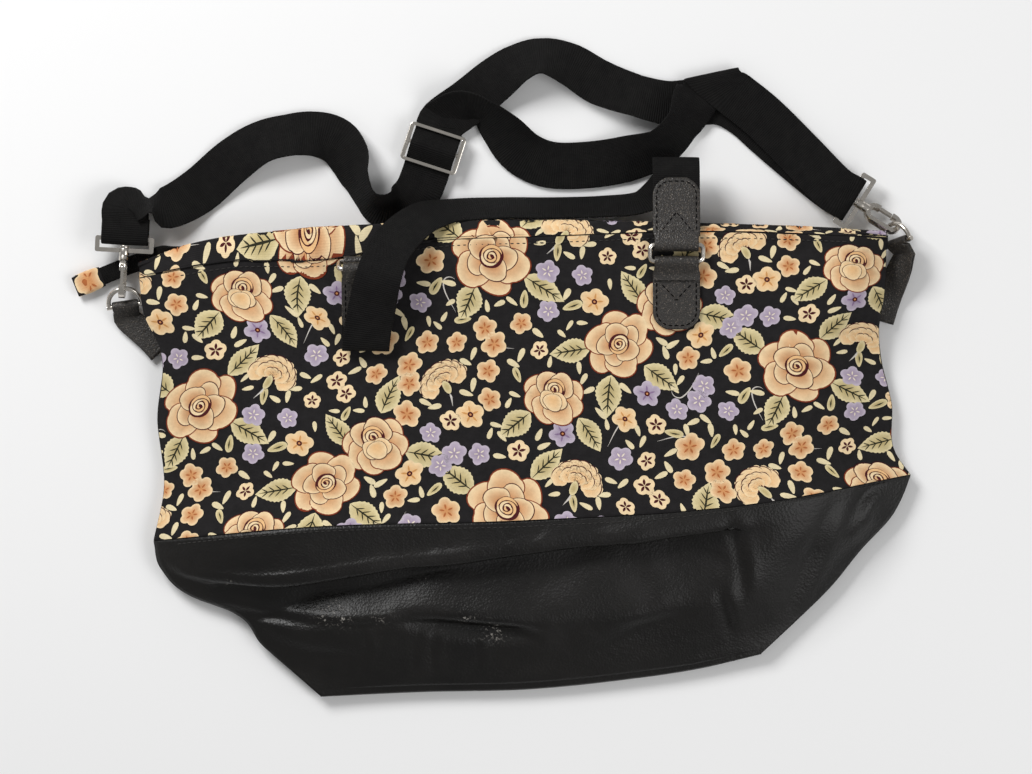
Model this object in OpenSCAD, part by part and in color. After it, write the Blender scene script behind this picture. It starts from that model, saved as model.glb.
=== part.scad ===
// Weekender tote bag lying empty on its back: printed canvas above, a collapsed leather base below,
// webbing handles on rectangular rings and a clip-on shoulder strap. X runs across the bag, Y from
// the base to the top, Z up from the floor; the origin is on the floor under the middle of the bag.

/* [Bag] */
// Width of the bag at the seam between canvas and leather
bag_w = 516; // [490:1:540]
// Height of the canvas front in the middle, from the seam to the top fold
canvas_h = 192; // [185:1:205]
// Depth of the collapsed leather base in the middle, from the seam to the bottom edge
base_h = 116; // [105:1:125]
// Height of the flat front panel above the floor
panel_h = 36; // [35:0.5:40]
// Height of the seam between canvas and leather above the floor
seam_h = 46; // [42:1:52]
// Height of the leather where it rolls round the bottom edge
hem_h = 9.4; // [8.5:0.1:12]
// Room under the back panel for the back handle
back_lift = 12; // [12:0.1:14]
// Height of the side seams near the top of the bag
shoulder_h = 18; // [17:0.5:21]
// Thickness of the canvas
canvas_t = 1.6; // [1.2:0.1:1.8]
// Thickness of the leather of the base
leather_t = 1.8; // [1.4:0.1:2]
// Thickness of the zip facings
facing_t = 1.4; // [1:0.1:1.6]
// How far the leather fold overhangs
fold_over = 8; // [5:0.5:9]

/* [Zip] */
// Distance of the zip below the top fold
zip_setback = 8.5; // [7:0.5:10]
// Gap between the two facings at the zip
lip_gap = 12; // [11.6:0.1:12.6]
// Distance of the slider from the right end of the zip
slider_from_end = 84; // [78:1:92]
// Half width of the open mouth at its widest
mouth_half = 3; // [2:0.1:3]
// Length of the zip pull
pull_len = 28; // [20:1:32]

/* [Handles] */
// Width of the webbing and the leather tabs
web_w = 32; // [30:0.5:33]
// Thickness of the webbing
web_t = 1.5; // [1.2:0.1:1.6]
// Distance between the two rings of a handle
ring_spacing = 210; // [195:1:225]
// Length of the leather tabs sewn to the bag
anchor_len = 46; // [40:1:52]
// Length of the leather tabs at the ends of the handles
end_tab_len = 46; // [42:1:50]
// Distance between the two long bars of a ring
ring_d = 11; // [10.5:0.1:12]
// Thickness of the ring wire
ring_wire = 3.2; // [2.8:0.1:3.4]
// Thickness of the leather of the tabs
tab_t = 1.6; // [1.3:0.1:1.8]

/* [Strap hardware] */
// Thickness of the wire of the D-rings
d_wire = 3.2; // [2.8:0.1:3.4]
// Inside width of the D-rings
d_inner = 19.2; // [19:0.1:21]
// Length of the oval of a hook, over all
hook_len = 27.5; // [26:0.5:30]
// Width of the oval of a hook, over all
hook_w = 15; // [14.6:0.1:16]
// Thickness of the wire of a hook
hook_wire = 3.3; // [3:0.1:3.4]
// Length of the strap slider
slider_len = 27; // [26:0.5:30]

/* [Hidden] */
$fn = 48;

canvas_colour = "#1a1819";
leather_colour = "#1e1c1a";
webbing_colour = "#141312";
tab_colour = "#2c2926";
nickel_colour = "#c8c4bc";

// Clearances: a sewn or resting seat, a running pin, and the play of a loop round a ring
seat = 0.3;
running = 0.08;
loop_play = 1.3;
bore_play = 0.3;

half_w = bag_w / 2;
seam_y = -39;
top_y = seam_y + canvas_h;
bottom_y = seam_y - base_h;
zip_y = top_y - zip_setback;
zip_z = (panel_h + back_lift) / 2;

function lerp(a, b, t) = a + (b - a) * t;
function unit(v) = v / norm(v);
function clamp01(t) = min(1, max(0, t));
function smooth(t) = let (c = clamp01(t)) c * c * (3 - 2 * c);
function turn(a) = [cos(a), sin(a)];

// Rise from a side seam: 0 at the seam, 1 from the share w of the width inwards
function rise(u, w) = sin(90 * clamp01(min(u, 1 - u) / w));

// Outlines of the bag, u from the left side (0) to the right side (1), v from the seam to the top
function seam_line(u) = seam_y + lookup(u, [[0, -15], [0.2, -5], [0.5, 0], [0.79, 11], [1, 30]]);
function top_line(u) = top_y + lookup(u,
    [[0, -28], [0.13, -17], [0.25, -16], [0.38, -4], [0.55, 0], [0.75, 3], [1, -1]]);
function rim_line(u) = top_y + lookup(u,
    [[0, -17], [0.07, -5], [0.22, 5], [0.39, 10], [0.68, 10], [0.8, 8.5], [1, 4.5]]);
function bottom_line(u) = bottom_y + lookup(u,
    [[0, -5], [0.23, -2], [0.48, 0], [0.68, 6], [0.86, 14], [1, 24]]);
function left_side(v) = -half_w + lookup(v,
    [[0, 1], [0.2, 8], [0.44, 4], [0.75, 5], [0.85, -4], [1, -8]]);
function right_side(v) = half_w + lookup(v,
    [[0, 2], [0.09, -8], [0.31, -11], [0.48, -18], [0.62, -20], [0.75, -17], [1, -15]]);
function base_left(f) = -half_w + lookup(f,
    [[0, 1], [0.18, 6], [0.38, 32], [0.44, 50], [0.68, 76], [0.86, 98], [1, 115]]);
function base_right(f) = half_w + lookup(f,
    [[0, 2], [0.11, -3], [0.22, -10], [0.42, -32], [0.64, -54], [0.8, -74], [1, -100]]);
function side_ramp(v) = lookup(v, [[0, 0.2], [0.5, 0.15], [0.75, 0.07], [1, 0.06]]);

// Side seams: front height, and the back one sheet pair lower
function edge_front(v) = lookup(v, [[0, hem_h], [0.5, hem_h], [0.75, shoulder_h], [1, shoulder_h]]);
function edge_back(v, t) = edge_front(v) - 2 * t - seat;
function crown(v) = lookup(v, [[0, seam_h], [0.12, seam_h - 5], [0.35, panel_h + 2], [0.5, panel_h],
    [1, panel_h]]);
lift_from = 0.25;
lift_to = 0.42;
function lift(v) = lookup(v, [[0, 0], [lift_from, 0], [lift_to, back_lift], [1, back_lift]]);
function canvas_x(u, v) = lerp(left_side(v), right_side(v), u);

// A sheet between two grids of points, outer and inner, rows along i and columns along j
module sheet(outer, inner) {
    n = len(outer) - 1;
    m = len(outer[0]) - 1;
    half = (n + 1) * (m + 1);
    function o(i, j) = i * (m + 1) + j;
    function k(i, j) = half + o(i, j);
    points = concat([for (row = outer) each row], [for (row = inner) each row]);
    faces = concat(
        [for (i = [0 : n - 1], j = [0 : m - 1])
            each [[o(i, j), o(i, j + 1), o(i + 1, j + 1)], [o(i, j), o(i + 1, j + 1), o(i + 1, j)]]],
        [for (i = [0 : n - 1], j = [0 : m - 1])
            each [[k(i, j), k(i + 1, j + 1), k(i, j + 1)], [k(i, j), k(i + 1, j), k(i + 1, j + 1)]]],
        [for (i = [0 : n - 1]) each [[o(i, 0), o(i + 1, 0), k(i + 1, 0)],
            [o(i, 0), k(i + 1, 0), k(i, 0)]]],
        [for (i = [0 : n - 1]) each [[o(i, m), k(i + 1, m), o(i + 1, m)],
            [o(i, m), k(i, m), k(i + 1, m)]]],
        [for (j = [0 : m - 1]) each [[o(0, j + 1), o(0, j), k(0, j)],
            [o(0, j + 1), k(0, j), k(0, j + 1)]]],
        [for (j = [0 : m - 1]) each [[o(n, j), o(n, j + 1), k(n, j + 1)],
            [o(n, j), k(n, j + 1), k(n, j)]]]);
    polyhedron(points, faces);
}

// Points moved by t to the right of a path in the (y, z) plane
function moved_right(path, t) = let (n = len(path) - 1) [for (i = [0 : n])
    let (d = unit(path[min(n, i + 1)] - path[max(0, i - 1)])) path[i] + t * [d[1], -d[0]]];

// A ribbon through hand-set points [x, y, z, azimuth and tilt of its width, width share],
// smoothed with cubic curves and cut into `steps` pieces between points
function width_dir(p) = [each turn(p[3]) * cos(p[4]), sin(p[4])];
function share(p) = len(p) > 5 ? p[5] : 1;
function place_of(p) = [p[0], p[1], p[2]];
// Route points whose y is measured from the top fold
function from_top(points) = [for (p = points)
    [p[0], top_y + p[1], each [for (k = [2 : len(p) - 1]) p[k]]]];
function cubic(a, b, c, d, t) = b + 0.5 * t * (c - a + t * (2 * a - 5 * b + 4 * c - d + t * (3 * (b - c) + d - a)));
function ribbon_places(r, steps) = let (n = len(r) - 1) [
    for (i = [0 : n - 1], s = [0 : steps - 1])
        cubic(place_of(r[max(0, i - 1)]), place_of(r[i]), place_of(r[i + 1]),
            place_of(r[min(n, i + 2)]), s / steps),
    place_of(r[n])];
function ribbon_widths(r, steps) = let (n = len(r) - 1) [
    for (i = [0 : n - 1], s = [0 : steps - 1])
        unit(lerp(width_dir(r[i]), width_dir(r[i + 1]), s / steps)) * lerp(share(r[i]), share(r[i + 1]),
            s / steps),
    width_dir(r[n]) * share(r[n])];
// Frames of a ribbon: centre, width direction with its share, outward direction
function ribbon_frames(route, steps) =
    let (p = ribbon_places(route, steps), d = ribbon_widths(route, steps), n = len(p) - 1)
    [for (i = [0 : n])
        let (along = unit(p[min(n, i + 1)] - p[max(0, i - 1)]))
        let (across = norm(d[i]) * unit(d[i] - along * (along * d[i])))
        [p[i], across, unit(cross(along, across))]];
module ribbon_through(frames, w, t) {
    sheet([for (f = frames) [for (s = [-1, 1]) f[0] + s * f[1] * w / 2 + f[2] * t / 2]],
        [for (f = frames) [for (s = [-1, 1]) f[0] + s * f[1] * w / 2 - f[2] * t / 2]]);
}
module ribbon(route, w, t, steps = 2) {
    ribbon_through(ribbon_frames(route, steps), w, t);
}

// Local frame of a piece: X along heading and pitch, then rolled about X
module stand(p, heading, pitch = 0, roll = 0) {
    translate(p) rotate([0, 0, heading]) rotate([0, -pitch, 0]) rotate([roll, 0, 0]) children();
}

// Canvas panels
panel_cols = 28;
panel_rows = 12;
function front_point(u, v) = [canvas_x(u, v), lerp(seam_line(u), top_line(u), v),
    lerp(edge_front(v), crown(v), rise(u, side_ramp(v)))];
module front_panel() {
    outer = [for (i = [0 : panel_cols])
        [for (j = [0 : panel_rows]) front_point(i / panel_cols, j / panel_rows)]];
    color(canvas_colour) sheet(outer, [for (row = outer) [for (p = row) p - [0, 0, canvas_t]]]);
}
back_rim = 6;
function back_point(u, v) = [canvas_x(u, v), lerp(seam_line(u), rim_line(u) - back_rim, v),
    lerp(edge_back(v, canvas_t), lift(v), rise(u, 0.06))];
module back_panel() {
    outer = [for (i = [0 : panel_cols])
        [for (j = [panel_rows : -1 : 0]) back_point(i / panel_cols, j / panel_rows)]];
    color(canvas_colour) sheet(outer, [for (row = outer) [for (p = row) p + [0, 0, canvas_t]]]);
}

// Leather base: one sheet from the back seam round the bottom edge and up to the front seam,
// with the overhanging fold in the front. f runs from the seam (0) to the bottom edge (1).
base_side = 0.2;
function fold_at(u) = lookup(u,
    [[0, 0.2], [0.08, 0.29], [0.35, 0.24], [0.53, 0.17], [0.7, 0.13], [0.8, 0.12]]);
function fold_size(u) = smooth(u / 0.12) * smooth((0.86 - u) / 0.2);
function base_plain(f) = lookup(f,
    [[0, seam_h], [0.2, seam_h - 3], [0.6, lerp(hem_h, seam_h, 0.5)], [0.92, hem_h + 3], [1, hem_h]]);
// Stations of the fold: share of the depth past the fold, overhang share and height, both for the full fold
fold_stations = [[0.3, -0.85, -15.5], [0.22, -0.25, -15.5], [0.165, 0.45, -14.6], [0.13, 1, -12.6],
    [0.1, 0.95, -10.2],
    [0.07, 0.45, -8.6], [0.04, -0.15, -6.2], [0.015, -0.32, -2.4], [-0.02, -0.1, 1.4], [-0.06, 0.6, 3],
        [-0.1, 1.4, 2.6]];
function front_base_path(u) = concat(
    [for (f = [1, 0.94, 0.82, 0.68, 0.55]) [lerp(seam_line(u), bottom_line(u), f), base_plain(f), f]],
    [for (s = fold_stations)
        let (c = fold_at(u), a = fold_size(u), flat_f = max(0.02, c + s[0]))
        let (flat_y = lerp(seam_line(u), bottom_line(u), flat_f),
            fold_y = lerp(seam_line(u), bottom_line(u), c) + s[1] * fold_over)
        [lerp(flat_y, fold_y, a), lerp(base_plain(flat_f), base_plain(c) + s[2], a), flat_f]],
    [[seam_line(u) - seat, base_plain(0), 0]]);
function base_path(u) = let (front = front_base_path(u), b = rise(u, base_side),
    low = edge_back(0, leather_t), hem = bottom_line(u)) concat(
    [for (f = [0, 0.3, 0.6, 0.86]) [lerp(seam_line(u) - seat, hem, f), lerp(low, 0, b), f]],
    [[hem + 4, lerp(low, 0, b), 1], [hem + 0.4, lerp(low + 0.5, 1.6, b), 1],
        [hem - 0.6, lerp(lerp(low, hem_h, 0.5), 4.6, b), 1], [hem + 0.4, lerp(hem_h - 0.5, 7.8, b), 1]],
    [for (p = front) [p[2] == 1 ? hem + 4 : p[0], lerp(hem_h, p[1], b), p[2]]]);
module leather_base() {
    paths = [for (i = [0 : panel_cols]) base_path(i / panel_cols)];
    flat = [for (path = paths) [for (p = path) [p[0], p[1]]]];
    inner_flat = [for (path = flat) moved_right(path, leather_t)];
    function at(i, j, q) = [lerp(base_left(paths[i][j][2]), base_right(paths[i][j][2]), i / panel_cols),
        q[0], q[1]];
    outer = [for (i = [0 : panel_cols]) [for (j = [0 : len(flat[0]) - 1]) at(i, j, flat[i][j])]];
    inner = [for (i = [0 : panel_cols]) [for (j = [0 : len(flat[0]) - 1]) at(i, j, inner_flat[i][j])]];
    color(leather_colour) sheet(outer, inner);
}

// Zip facings: canvas strips that roll over the rim and dip to the recessed zip
facing_skip = 2;
facing_cols = panel_cols - 2 * facing_skip;
lip_flat = 1;
function facing_u(i) = (i + facing_skip) / panel_cols;
module facing(paths) {
    function at(i, q) = [canvas_x(facing_u(i), 1), q[0], q[1]];
    inner_paths = [for (path = paths) moved_right(path, facing_t)];
    sheet([for (i = [0 : facing_cols]) [for (q = paths[i]) at(i, q)]],
        [for (i = [0 : facing_cols]) [for (q = inner_paths[i]) at(i, q)]]);
}
function front_facing_path(u) = let (rim = rim_line(u), lip = zip_z + lip_gap / 2) [
    [top_line(u) + seat, panel_h], [top_line(u) + seat + lip_flat, panel_h], [rim - 2.5, panel_h - 2.3],
    [rim, lerp(panel_h - 2.3, lip + 0.8, 0.5)], [rim - 2.5, lip + 0.8], [zip_y + lip_flat, lip],
        [zip_y, lip]];
function back_facing_path(u) = let (rim = rim_line(u), lip = zip_z - lip_gap / 2) [
    [zip_y, lip], [zip_y + lip_flat, lip], [rim - 2.5, lip - 0.8],
        [rim, lerp(back_lift, lip - 0.8, 0.5)],
    [rim - 2.5, back_lift + 0.2], [rim - back_rim + seat + lip_flat, back_lift],
        [rim - back_rim + seat, back_lift]];
module front_zip_facing() {
    color(canvas_colour) facing([for (i = [0 : facing_cols]) front_facing_path(facing_u(i))]);
}
module back_zip_facing() {
    color(canvas_colour) facing([for (i = [0 : facing_cols]) back_facing_path(facing_u(i))]);
}

// Zip tapes with their coils, closed up to the slider and open as a lens beyond it
zip_from = -half_w + 32;
zip_to = half_w - 48;
slider_x = zip_to - slider_from_end;
tape_w = 7.4;
tape_t = 0.8;
coil_w = 2.2;
coil_t = 2.2;
coil_gap = 1;
mouth_from = slider_x + 9;
tape_y = zip_y - seat - tape_t;
function mouth(x) = mouth_half * sin(180 * clamp01((x - mouth_from) / (zip_to - mouth_from)));
zip_xs = concat([zip_from, -60, mouth_from], [for (i = [1 : 10]) lerp(mouth_from, zip_to, i / 10)]);
module zip_tape(side) {
    function at(x, y, h) = [x, y, zip_z + side * (h + mouth(x))];
    low = coil_gap / 2;
    loops = [for (x = zip_xs) [at(x, tape_y + tape_t, low + coil_w),
        at(x, tape_y + tape_t + coil_t, low + coil_w),
        at(x, tape_y + tape_t + coil_t, low), at(x, tape_y, low),
            at(x, tape_y, low + tape_w - mouth(x)),
        at(x, tape_y + tape_t, low + tape_w - mouth(x))]];
    n = len(loops) - 1;
    wound = side > 0 ? [0, 1, 2, 3, 4, 5] : [0, 5, 4, 3, 2, 1];
    function id(i, k) = i * 6 + wound[k % 6];
    faces = concat(
        [for (i = [0 : n - 1], k = [0 : 5])
            each [[id(i, k), id(i, k + 1), id(i + 1, k + 1)],
            [id(i, k), id(i + 1, k + 1), id(i + 1, k)]]],
        [for (k = [1 : 4]) each [[id(0, 0), id(0, k + 1), id(0, k)],
            [id(n, 0), id(n, k), id(n, k + 1)]]]);
    color(webbing_colour) polyhedron([for (loop = loops) each loop], faces);
}
module zip_tape_front() { zip_tape(1); }
module zip_tape_back() { zip_tape(-1); }

// Zip slider: two plates round the coils, a thin post between them and ears for the pull
plate_t = 1.4;
plate_w = 8.6;
plate_len = 11;
plate_room = 0.5;
post_t = 0.5;
ear_t = 1.1;
pull_pin_r = 0.8;
front_plate_y = tape_y + tape_t + coil_t + plate_room;
back_plate_y = tape_y - plate_room - plate_t;
pull_pin_y = front_plate_y + plate_t + 2.2;
pull_gap = 3.4;
module plate(y) {
    translate([slider_x, y, zip_z]) rotate([-90, 0, 0]) linear_extrude(plate_t) union() {
        square([plate_len - 4, plate_w], center = true);
        square([plate_len, plate_w - 4], center = true);
        for (x = [-1, 1], z = [-1, 1]) translate([x * (plate_len / 2 - 2), z * (plate_w / 2 - 2)])
            circle(r = 2);
    }
}
module zip_slider() {
    color(nickel_colour) {
        plate(front_plate_y);
        plate(back_plate_y);
        translate([slider_x + 1.5, back_plate_y, zip_z - post_t / 2])
            cube([3.4, front_plate_y + plate_t - back_plate_y, post_t]);
        for (s = [-1, 1]) translate([slider_x - 1.6, front_plate_y + plate_t / 2,
            zip_z + s * (pull_gap + ear_t) / 2 - ear_t / 2])
            cube([3.2, pull_pin_y + 1.4 - front_plate_y - plate_t / 2, ear_t]);
        translate([slider_x, pull_pin_y, zip_z - pull_gap / 2 - ear_t])
            cylinder(r = pull_pin_r, h = pull_gap + 2 * ear_t);
    }
}
pull_t = 1.6;
pull_w = 6.4;
module zip_pull() {
    eye_w = pull_gap - 2 * seat;
    color(nickel_colour) translate([slider_x, pull_pin_y, zip_z]) difference() {
        union() {
            translate([0, 0, -eye_w / 2]) cylinder(r = 1.5, h = eye_w);
            translate([0, -pull_t / 2, -eye_w / 2]) cube([6, pull_t, eye_w]);
            translate([5, pull_t / 2, 0]) rotate([90, 0, 0]) linear_extrude(pull_t) union() {
                translate([0, -pull_w / 2]) square([pull_len - 5 - pull_w / 2, pull_w]);
                translate([pull_len - 5 - pull_w / 2, 0]) circle(d = pull_w);
            }
        }
        translate([0, 0, -eye_w]) cylinder(r = pull_pin_r + running, h = 2 * eye_w);
        translate([pull_len - pull_w / 2, pull_t, 0]) rotate([90, 0, 0])
            cylinder(r = 1.4, h = 2 * pull_t);
    }
}

// Zip tail past the left end of the bag, and its printed end tab
tail_w = 12;
tail_t = 2.2;
tail_gap = 0.9;
tail_end = [-half_w - 40, zip_y - 20, 3.2];
module zip_tail() {
    start = zip_from - tail_gap;
    route = [[start, zip_y - 0.2, zip_z, 90, 90, 0.88],
        [start - 14, zip_y - 0.6, zip_z - 2, 90, 66, 0.9],
        [start - 26, zip_y - 3.4, 11.4, 92, 22], [start - 40, zip_y - 8, 6, 98, 8],
        [start - 54, zip_y - 13, 4, 108, 4], [each tail_end, 112, 0]];
    color(webbing_colour) ribbon(route, tail_w, tail_t, 3);
}
module zip_end_tab() {
    heading = 202;
    wrap = 1.4;
    room = wrap - seat;
    color(canvas_colour) stand(tail_end, heading)
        translate([-6, -tail_w / 2 - wrap, -tail_t / 2 - wrap]) difference() {
        cube([20, tail_w + 2 * wrap, tail_t + 2 * wrap]);
        translate([-1, room - 0.6, room - 0.6])
            cube([7 + seat, tail_w + 2 * seat + 1.2, tail_t + 2 * seat + 1.2]);
    }
}

// Rings and leather tabs of the handles
ring_y = top_y - 17;
ring_mid = -6;
tab_slack = 1.4;
tab_base = seat + 4.7;
leaf_t = 2.2;
anchor_r = ring_wire / 2 + bore_play + tab_t;
loop_r = ring_wire / 2 + loop_play + tab_slack;
ring_w = web_w + 0.8 + ring_wire;
sleeve_w = web_w - 2;
bend_r = 3;
front_bar_z = panel_h + tab_base;
back_bar_z = back_lift - tab_base;
// Ring lean about its lower bar and slope of the end tab, [left, right]
front_lean = [120, 0];
front_slope = [192, -9];
back_lean = 192;
back_slope = 181.5;
function ring_x(side) = ring_mid + (side == 0 ? -1 : 1) * ring_spacing / 2;
function far_bar(side, bar_z, lean) = [ring_x(side), ring_y + ring_d * cos(lean),
    bar_z + ring_d * sin(lean)];

// Outline of a tab: straight sides, and a lower end with two rounded corners
module tab_outline(length) {
    r = 12;
    translate([-web_w / 2, 0]) square([web_w, length - r]);
    translate([-web_w / 2 + r, 0]) square([web_w - 2 * r, length]);
    for (s = [-1, 1]) translate([s * (web_w / 2 - r), length - r]) circle(r = r);
}
module cross_bar(r, w) {
    translate([-w / 2, 0, 0]) rotate([0, 90, 0]) cylinder(r = r, h = w);
}
module anchor_tab(side, bar_z, up) {
    color(tab_colour) translate([ring_x(side), ring_y, bar_z]) difference() {
        union() {
            cross_bar(anchor_r, sleeve_w);
            translate([0, 0, up > 0 ? -tab_base + seat : tab_base - seat - leaf_t])
                rotate([0, 0, 180]) linear_extrude(leaf_t) difference() {
                    tab_outline(anchor_len);
                    translate([-web_w / 2 - 1, -1]) square([(web_w - sleeve_w) / 2 + 1, 6]);
                    translate([sleeve_w / 2, -1]) square([(web_w - sleeve_w) / 2 + 1, 6]);
                }
        }
        cross_bar(ring_wire / 2 + bore_play, sleeve_w + 2);
    }
}
module handle_ring(side, bar_z, lean) {
    r = ring_wire / 2;
    x = ring_w / 2;
    color(nickel_colour) translate([ring_x(side), ring_y, bar_z]) rotate([lean, 0, 0]) {
        for (y = [0, ring_d]) translate([0, y, 0]) cross_bar(r, 2 * (x - bend_r));
        for (s = [-1, 1]) translate([s * x, bend_r, 0]) rotate([-90, 0, 0])
            cylinder(r = r, h = ring_d - 2 * bend_r);
        for (c = [[1, 1, 0], [-1, 1, 90], [-1, -1, 180], [1, -1, 270]])
            translate([c[0] * (x - bend_r), c[1] > 0 ? ring_d - bend_r : bend_r, 0])
                rotate([0, 0, c[2]])
                rotate_extrude(angle = 90) translate([bend_r, 0]) circle(r = r);
    }
}
leaf_gap = web_t / 2 + 0.25;
module end_tab(side, bar_z, lean, slope) {
    color(tab_colour) translate(far_bar(side, bar_z, lean)) rotate([slope, 0, 0]) difference() {
        union() {
            cross_bar(loop_r, sleeve_w);
            for (z = [leaf_gap, -leaf_gap - tab_t]) translate([0, 0, z]) linear_extrude(tab_t)
                difference() {
                tab_outline(end_tab_len);
                translate([-web_w / 2 - 1, -1]) square([(web_w - sleeve_w) / 2 + 1, 7]);
                translate([sleeve_w / 2, -1]) square([(web_w - sleeve_w) / 2 + 1, 7]);
            }
        }
        cross_bar(ring_wire / 2 + loop_play, sleeve_w + 2);
    }
}
module anchor_tab_front_left() { anchor_tab(0, front_bar_z, 1); }
module anchor_tab_front_right() { anchor_tab(1, front_bar_z, 1); }
module anchor_tab_back_left() { anchor_tab(0, back_bar_z, -1); }
module anchor_tab_back_right() { anchor_tab(1, back_bar_z, -1); }
module handle_ring_front_left() { handle_ring(0, front_bar_z, front_lean[0]); }
module handle_ring_front_right() { handle_ring(1, front_bar_z, front_lean[1]); }
module handle_ring_back_left() { handle_ring(0, back_bar_z, back_lean); }
module handle_ring_back_right() { handle_ring(1, back_bar_z, back_lean); }
module end_tab_front_left() { end_tab(0, front_bar_z, front_lean[0], front_slope[0]); }
module end_tab_front_right() { end_tab(1, front_bar_z, front_lean[1], front_slope[1]); }
module end_tab_back_left() { end_tab(0, back_bar_z, back_lean, back_slope); }
module end_tab_back_right() { end_tab(1, back_bar_z, back_lean, back_slope); }

// Webbing of the handles: each end sits between the leaves of its end tab
tab_hold = 6;
function tab_point(side, bar_z, lean, slope, along, az) = let (b = far_bar(side, bar_z, lean))
    [b[0], b[1] + along * cos(slope), b[2] + along * sin(slope), az, 0];
function in_tab(side, bar_z, lean, slope, az) =
    [for (a = [tab_hold, 14, 28, end_tab_len - 2]) tab_point(side, bar_z, lean, slope, a, az)];
function back_to_front(r) = [for (i = [len(r) - 1 : -1 : 0]) r[i]];
module front_handle() {
    right = in_tab(1, front_bar_z, front_lean[1], front_slope[1], 180);
    left = in_tab(0, front_bar_z, front_lean[0], front_slope[0], 180);
    rx = ring_x(1);
    lx = ring_x(0);
    bz = front_bar_z;
    route = concat(right,
        from_top([[rx, 47, bz - 9.5, 180, 0], [rx, 53.5, bz - 17, 180, 0], [rx, 48, 15, 180, 0],
            [rx - 3, 37, 12, 140, -30],
        [rx - 23, 24, 15.6, 97, -60], [48, 21, 15.6, 90, -62], [14, 20, 15.6, 90, -62],
            [-20, 20, 15.6, 90, -62],
        [-54, 18, 22, 92, -60], [lx + 39, 13, bz - 9, 104, -50], [lx + 25, 2, bz + 3, 120, -40],
            [lx + 15, -12, bz + 14, 140, -28],
        [lx + 9, -29, bz + 19, 160, -12], [lx + 5, -47, bz + 12, 176, -3],
            [lx + 2, -61, bz + 7.5, 180, 0],
        [lx + 0.5, -72, bz + 4.6, 180, 0], [lx, -77, bz + 1.6, 180, 0], [lx, -72.5, bz - 0.8, 180, 0]]),
        back_to_front(left));
    color(webbing_colour) ribbon(route, web_w, web_t, 2);
}
fold_y = seam_y + (lift_to + 0.06) * canvas_h;
module back_handle() {
    left = in_tab(0, back_bar_z, back_lean, back_slope, 0);
    right = in_tab(1, back_bar_z, back_lean, back_slope, 0);
    lx = ring_x(0);
    rx = ring_x(1);
    half = web_w / 2;
    high = 4.2;
    low = 1.8;
    mid = (high + low) / 2;
    corner = sqrt(2);
    route = concat(left,
        [[lx, fold_y + half + 4, high, 0, 0], [lx, fold_y, high, -45, 0, corner],
            [lx - 1, fold_y - 1, mid, -45, 0, corner],
        [lx, fold_y, low, -45, 0, corner], [lx + half + 4, fold_y, low, -90, 0],
            [ring_mid, fold_y, low, -90, 0],
        [rx - half - 4, fold_y, low, -90, 0], [rx, fold_y, low, -135, 0, corner],
            [rx + 1, fold_y - 1, mid, -135, 0, corner],
        [rx, fold_y, high, -135, 0, corner], [rx, fold_y + half + 4, high, -180, 0]],
        [for (p = back_to_front(right)) [p[0], p[1], p[2], -180, 0]]);
    color(webbing_colour) ribbon(route, web_w, web_t, 1);
}

// D-rings, clasps and strap, [left, right]. A clasp's X runs from its strap bar to the hook's tip.
clasp_at = [[-half_w - 18, top_y - 1, 15], [half_w - 40, top_y + 27, 11]];
clasp_heading = [-93, -32];
hook_roll = [90, -35];
d_heading = [98, 110];
d_pitch = [30, 0];
d_roll = [0, -48];
eye_bar = 3;
eye_room = 5;
eye_inner = web_w + 2;
boss_r = 3.4;
boss_len = 4.5;
post_r = 1.9;
head_t = 1.6;
eye_far = eye_bar / 2 + eye_room;
boss_end = eye_far + boss_len;
hook_from = boss_end + 2;
hook_r = hook_w / 2;
hook_inner = hook_r - hook_wire;
hook_near = hook_from + hook_r;
hook_far = hook_from + hook_len - hook_r;
link_play = 1.5;
wire_at = hook_far + hook_inner - d_wire / 2 - link_play;
d_r = (d_inner + d_wire) / 2;
d_straight = 2;
d_reach = d_r + d_straight;
function clasp_dir(s) = [each turn(clasp_heading[s]), 0];
function d_dir(s) = [each turn(d_heading[s]) * cos(d_pitch[s]), sin(d_pitch[s])];
function link_at(s) = clasp_at[s] + wire_at * clasp_dir(s);
function d_bar(s) = link_at(s) - d_reach * d_dir(s);

module d_ring(s) {
    r = d_wire / 2;
    color(nickel_colour) stand(d_bar(s), d_heading[s], d_pitch[s], d_roll[s]) {
        translate([0, -d_r - r, 0]) rotate([-90, 0, 0]) cylinder(r = r + 0.1, h = 2 * (d_r + r));
        for (y = [-d_r, d_r]) translate([0, y, 0]) rotate([0, 90, 0]) cylinder(r = r, h = d_straight);
        translate([d_straight, 0, 0]) rotate([0, 0, -90]) rotate_extrude(angle = 180)
            translate([d_r, 0]) circle(r = r);
    }
}
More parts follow.
